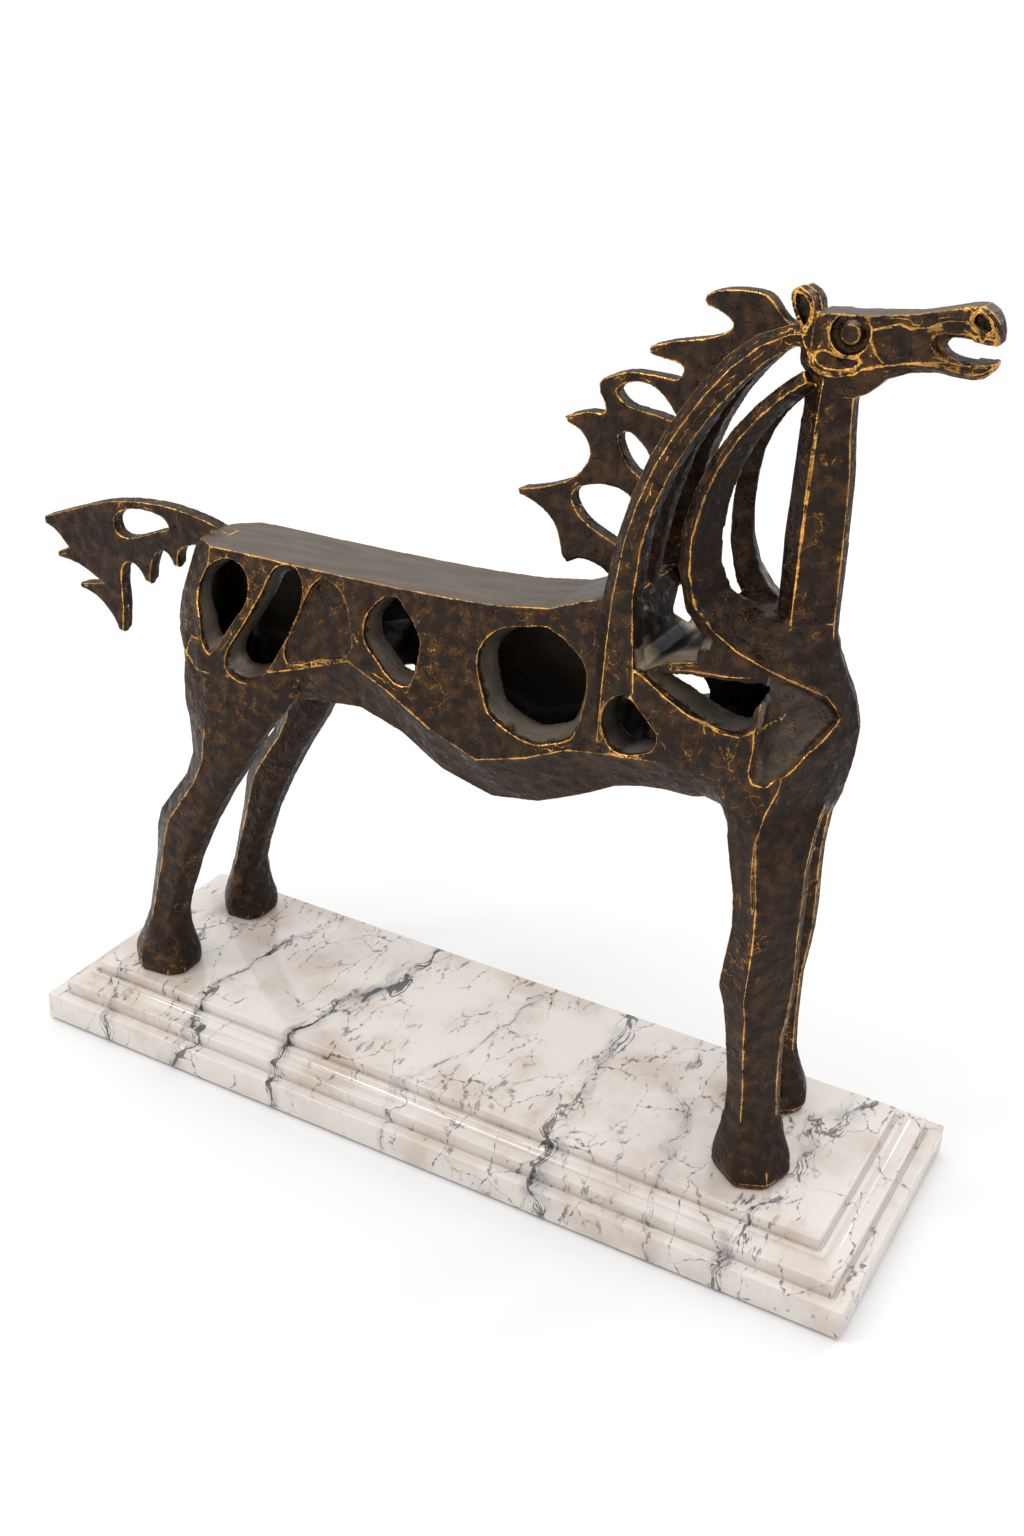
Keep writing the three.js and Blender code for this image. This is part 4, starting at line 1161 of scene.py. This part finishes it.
@dataclass
class Plinth:
    """The marble plinth: a slab, a step, a cove and a top block, in millimetres."""

    length: float = 600.0
    depth: float = 200.0
    foot_inset: float = 8.0
    foot: float = 2.0
    slab: float = 22.0
    step_inset: float = 10.0
    step: float = 8.5
    cove_width: float = 12.0
    cove_height: float = 6.5
    cove_parts: int = 6
    fillet_inset: float = 5.0
    fillet: float = 7.0
    quirk: float = 1.5
    arris: float = 1.1
    arris_parts: int = 4
    # In degrees: corners sharper than the first are eased, and shading breaks past the second.
    corner: float = 40.0
    shading: float = 32.0

    def profile(self) -> list[tuple[float, float]]:
        """Works out the mouldings.

        Returns:
            Inset and height of each moulding line, from the underside up.
        """
        step_top = self.slab + self.step
        rows = [(self.foot_inset, self.foot), (0.0, self.foot), (0.0, self.slab)]
        rows.extend([*self.groove(self.step_inset, self.slab), (self.step_inset, step_top)])
        for i in range(1, self.cove_parts + 1):
            angle = (i / self.cove_parts) * math.pi / 2
            inset = self.step_inset + self.cove_width * math.sin(angle)
            rows.append((inset, step_top + self.cove_height * (1 - math.cos(angle))))
        inner = self.step_inset + self.cove_width + self.fillet_inset
        block = step_top + self.cove_height
        return [*rows, *self.groove(inner, block), (inner, block + self.fillet)]

    def groove(self, inset: float, height: float) -> list[tuple[float, float]]:
        """Inset and height of the lines of a narrow groove along the foot of a wall."""
        lip, floor = inset - self.quirk, height - self.quirk
        return [(lip, height), (lip, floor), (inset, floor)]

    def build(self, marble: bpy.types.Material) -> bpy.types.Object:
        """Makes the plinth by raising one face through the profile.

        Args:
            marble: The finish.

        Returns:
            The finished piece, which stands for the CAD node.
        """
        work = bmesh.new()
        bmesh.ops.create_grid(work, x_segments=1, y_segments=1, size=0.5)
        inset, height = self.foot_inset, 0.0
        across = ((self.length - 2 * inset) * MM, (self.depth - 2 * inset) * MM, 1.0)
        bmesh.ops.scale(work, vec=across, verts=work.verts)
        top = work.faces[:][0]
        base = bmesh.ops.extrude_face_region(work, geom=[top])
        raised = [g for g in base["geom"] if isinstance(g, bmesh.types.BMFace)]
        profile = self.profile()
        for next_inset, next_height in profile:
            verts = list({v for f in raised for v in f.verts})
            wide = (self.length - 2 * next_inset) / (self.length - 2 * inset)
            deep = (self.depth - 2 * next_inset) / (self.depth - 2 * inset)
            bmesh.ops.scale(work, vec=(wide, deep, 1.0), verts=verts)
            bmesh.ops.translate(work, vec=(0.0, 0.0, (next_height - height) * MM), verts=verts)
            inset, height = next_inset, next_height
            if (next_inset, next_height) != profile[-1]:
                raised = bmesh.ops.extrude_discrete_faces(work, faces=raised)["faces"]
        bmesh.ops.remove_doubles(work, verts=work.verts, dist=0.001 * MM)
        bmesh.ops.recalc_face_normals(work, faces=work.faces)
        low = (self.foot - 0.1) * MM
        above = [e for e in work.edges if min(v.co.z for v in e.verts) > low]
        corner = math.radians(self.corner)
        sharp = [e for e in above if e.is_convex and e.calc_face_angle(0.0) > corner]
        bmesh.ops.bevel(
            work,
            geom=sharp,
            offset=self.arris * MM,
            offset_type="OFFSET",
            affect="EDGES",
            segments=self.arris_parts,
            profile=0.5,
            material=-1,
            clamp_overlap=True,
        )
        square = 0.9995  # a face whose normal runs this nearly along an axis stays flat
        for face in work.faces:
            face.smooth = max(abs(part) for part in face.normal) < square
        mesh = bpy.data.meshes.new("marble_plinth")
        work.to_mesh(mesh)
        work.free()
        mesh.materials.append(marble)
        plinth = bpy.data.objects.new("marble_plinth", mesh)
        bpy.context.scene.collection.objects.link(plinth)
        mesh.set_sharp_from_angle(angle=math.radians(self.shading))
        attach(plinth, "root")
        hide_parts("plinth")
        return plinth


@dataclass(frozen=True)
class MattPaper:
    """Matt white paper, which gives the floor an even pale grey without a reflection."""

    name: str = "matt_white_paper"
    colour: str = "#e9e9e9"
    roughness: float = 0.9
    specular: float = 0.0

    def build(self) -> bpy.types.Material:
        """Builds the material.

        Returns:
            The paper.
        """
        paper = bpy.data.materials.new(self.name)
        paper.use_nodes = True
        shader = paper.node_tree.nodes["Principled BSDF"]
        shader.inputs["Base Color"].default_value = linear(self.colour)
        shader.inputs["Roughness"].default_value = self.roughness
        shader.inputs["Specular IOR Level"].default_value = self.specular
        return paper


@dataclass(frozen=True)
class Softbox:
    """A soft light: where it hangs and how large it is in metres, and its power in watts."""

    name: str
    place: Point
    width: float
    height: float
    power: float


@dataclass
class Studio:
    """Pale floor, soft light and the camera."""

    camera_place: Point = (0.469015, -0.855118, 0.748376)
    azimuth: float = 27.9286
    elevation: float = 27.1931
    roll: float = 2.6126
    lens: float = 40.66
    sensor: float = 36.0
    aim: Point = (0.0, 0.0, 0.3)
    floor_size: float = 80.0
    zenith: float = 1.75
    horizon: float = 0.22
    softboxes: tuple[Softbox, ...] = (
        Softbox("key_softbox", (-0.95, -1.0, 2.0), 0.14, 1.1, 6.0),
        Softbox("side_softbox", (-1.5, -1.5, 0.8), 0.12, 0.12, 2.2),
        Softbox("low_softbox", (-0.5, -2.0, 0.62), 0.1, 0.1, 1.6),
        Softbox("rear_softbox", (1.1, 1.8, 1.2), 0.2, 0.9, 4.0),
        Softbox("fore_softbox", (1.6, -0.6, 1.3), 0.2, 0.2, 0.9),
    )

    def camera(self) -> None:
        """Sets the camera where the photograph was taken from."""
        a, e, roll = (math.radians(v) for v in (self.azimuth, self.elevation, self.roll))
        back = Vector((math.sin(a) * math.cos(e), -math.cos(a) * math.cos(e), math.sin(e)))
        right = Vector((math.cos(a), math.sin(a), 0.0))
        up = back.cross(right)
        turned_right = math.cos(roll) * right + math.sin(roll) * up
        turned_up = -math.sin(roll) * right + math.cos(roll) * up
        data = bpy.data.cameras.new("camera")
        data.lens = self.lens
        data.sensor_width = self.sensor
        data.clip_start, data.clip_end = 0.01, 200.0
        camera = bpy.data.objects.new("camera", data)
        turn = Matrix((turned_right, turned_up, back)).transposed().to_4x4()
        camera.matrix_world = Matrix.Translation(self.camera_place) @ turn
        bpy.context.scene.collection.objects.link(camera)
        bpy.context.scene.camera = camera

    def hang(self, box: Softbox) -> None:
        """Adds a soft light that faces the horse's middle.

        Args:
            box: The light.
        """
        data = bpy.data.lights.new(box.name, "AREA")
        data.shape = "RECTANGLE"
        data.size, data.size_y, data.energy = box.width, box.height, box.power
        light = bpy.data.objects.new(box.name, data)
        light.location = box.place
        aim = Vector(self.aim) - Vector(box.place)
        light.rotation_euler = aim.to_track_quat("-Z", "Y").to_euler()
        bpy.context.scene.collection.objects.link(light)

    def floor(self) -> None:
        """Adds the pale floor under the plinth."""
        work = bmesh.new()
        bmesh.ops.create_grid(work, x_segments=1, y_segments=1, size=self.floor_size / 2)
        mesh = bpy.data.meshes.new("floor")
        work.to_mesh(mesh)
        work.free()
        mesh.materials.append(MattPaper().build())
        floor = bpy.data.objects.new("floor", mesh)
        bpy.context.scene.collection.objects.link(floor)

    def sky(self) -> None:
        """Adds a white sky, brightest overhead, so that the floor is lit evenly."""
        world = bpy.data.worlds.new("sky")
        world.use_nodes = True
        tree = world.node_tree
        place = add(tree, "TexCoord", out="Generated")
        height = add(tree, "SeparateXYZ", place, out="Z")
        strength = add(tree, "MapRange", height, 0.0, 1.0, self.horizon, self.zenith)
        tree.links.new(strength, tree.nodes["Background"].inputs["Strength"])
        tree.nodes["Background"].inputs["Color"].default_value = (1.0, 1.0, 1.0, 1.0)
        bpy.context.scene.world = world

    def build(self) -> None:
        """Sets up the floor, the lights, the sky and the camera."""
        self.camera()
        self.floor()
        for box in self.softboxes:
            self.hang(box)
        self.sky()
        bpy.context.scene.view_settings.view_transform = "Standard"
        log.info("studio: camera, floor and %d lights", len(self.softboxes))


def main() -> None:
    """Builds the sculpture and its studio."""
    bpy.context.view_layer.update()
    Studio().build()
    plinth = Plinth().build(PolishedMarble().build())
    horse = Horse().build(CastBronze().build())
    for piece in (plinth, horse):
        log.info("%s: %d faces", piece.name, len(piece.data.polygons))


if __name__ == "__main__":
    main()
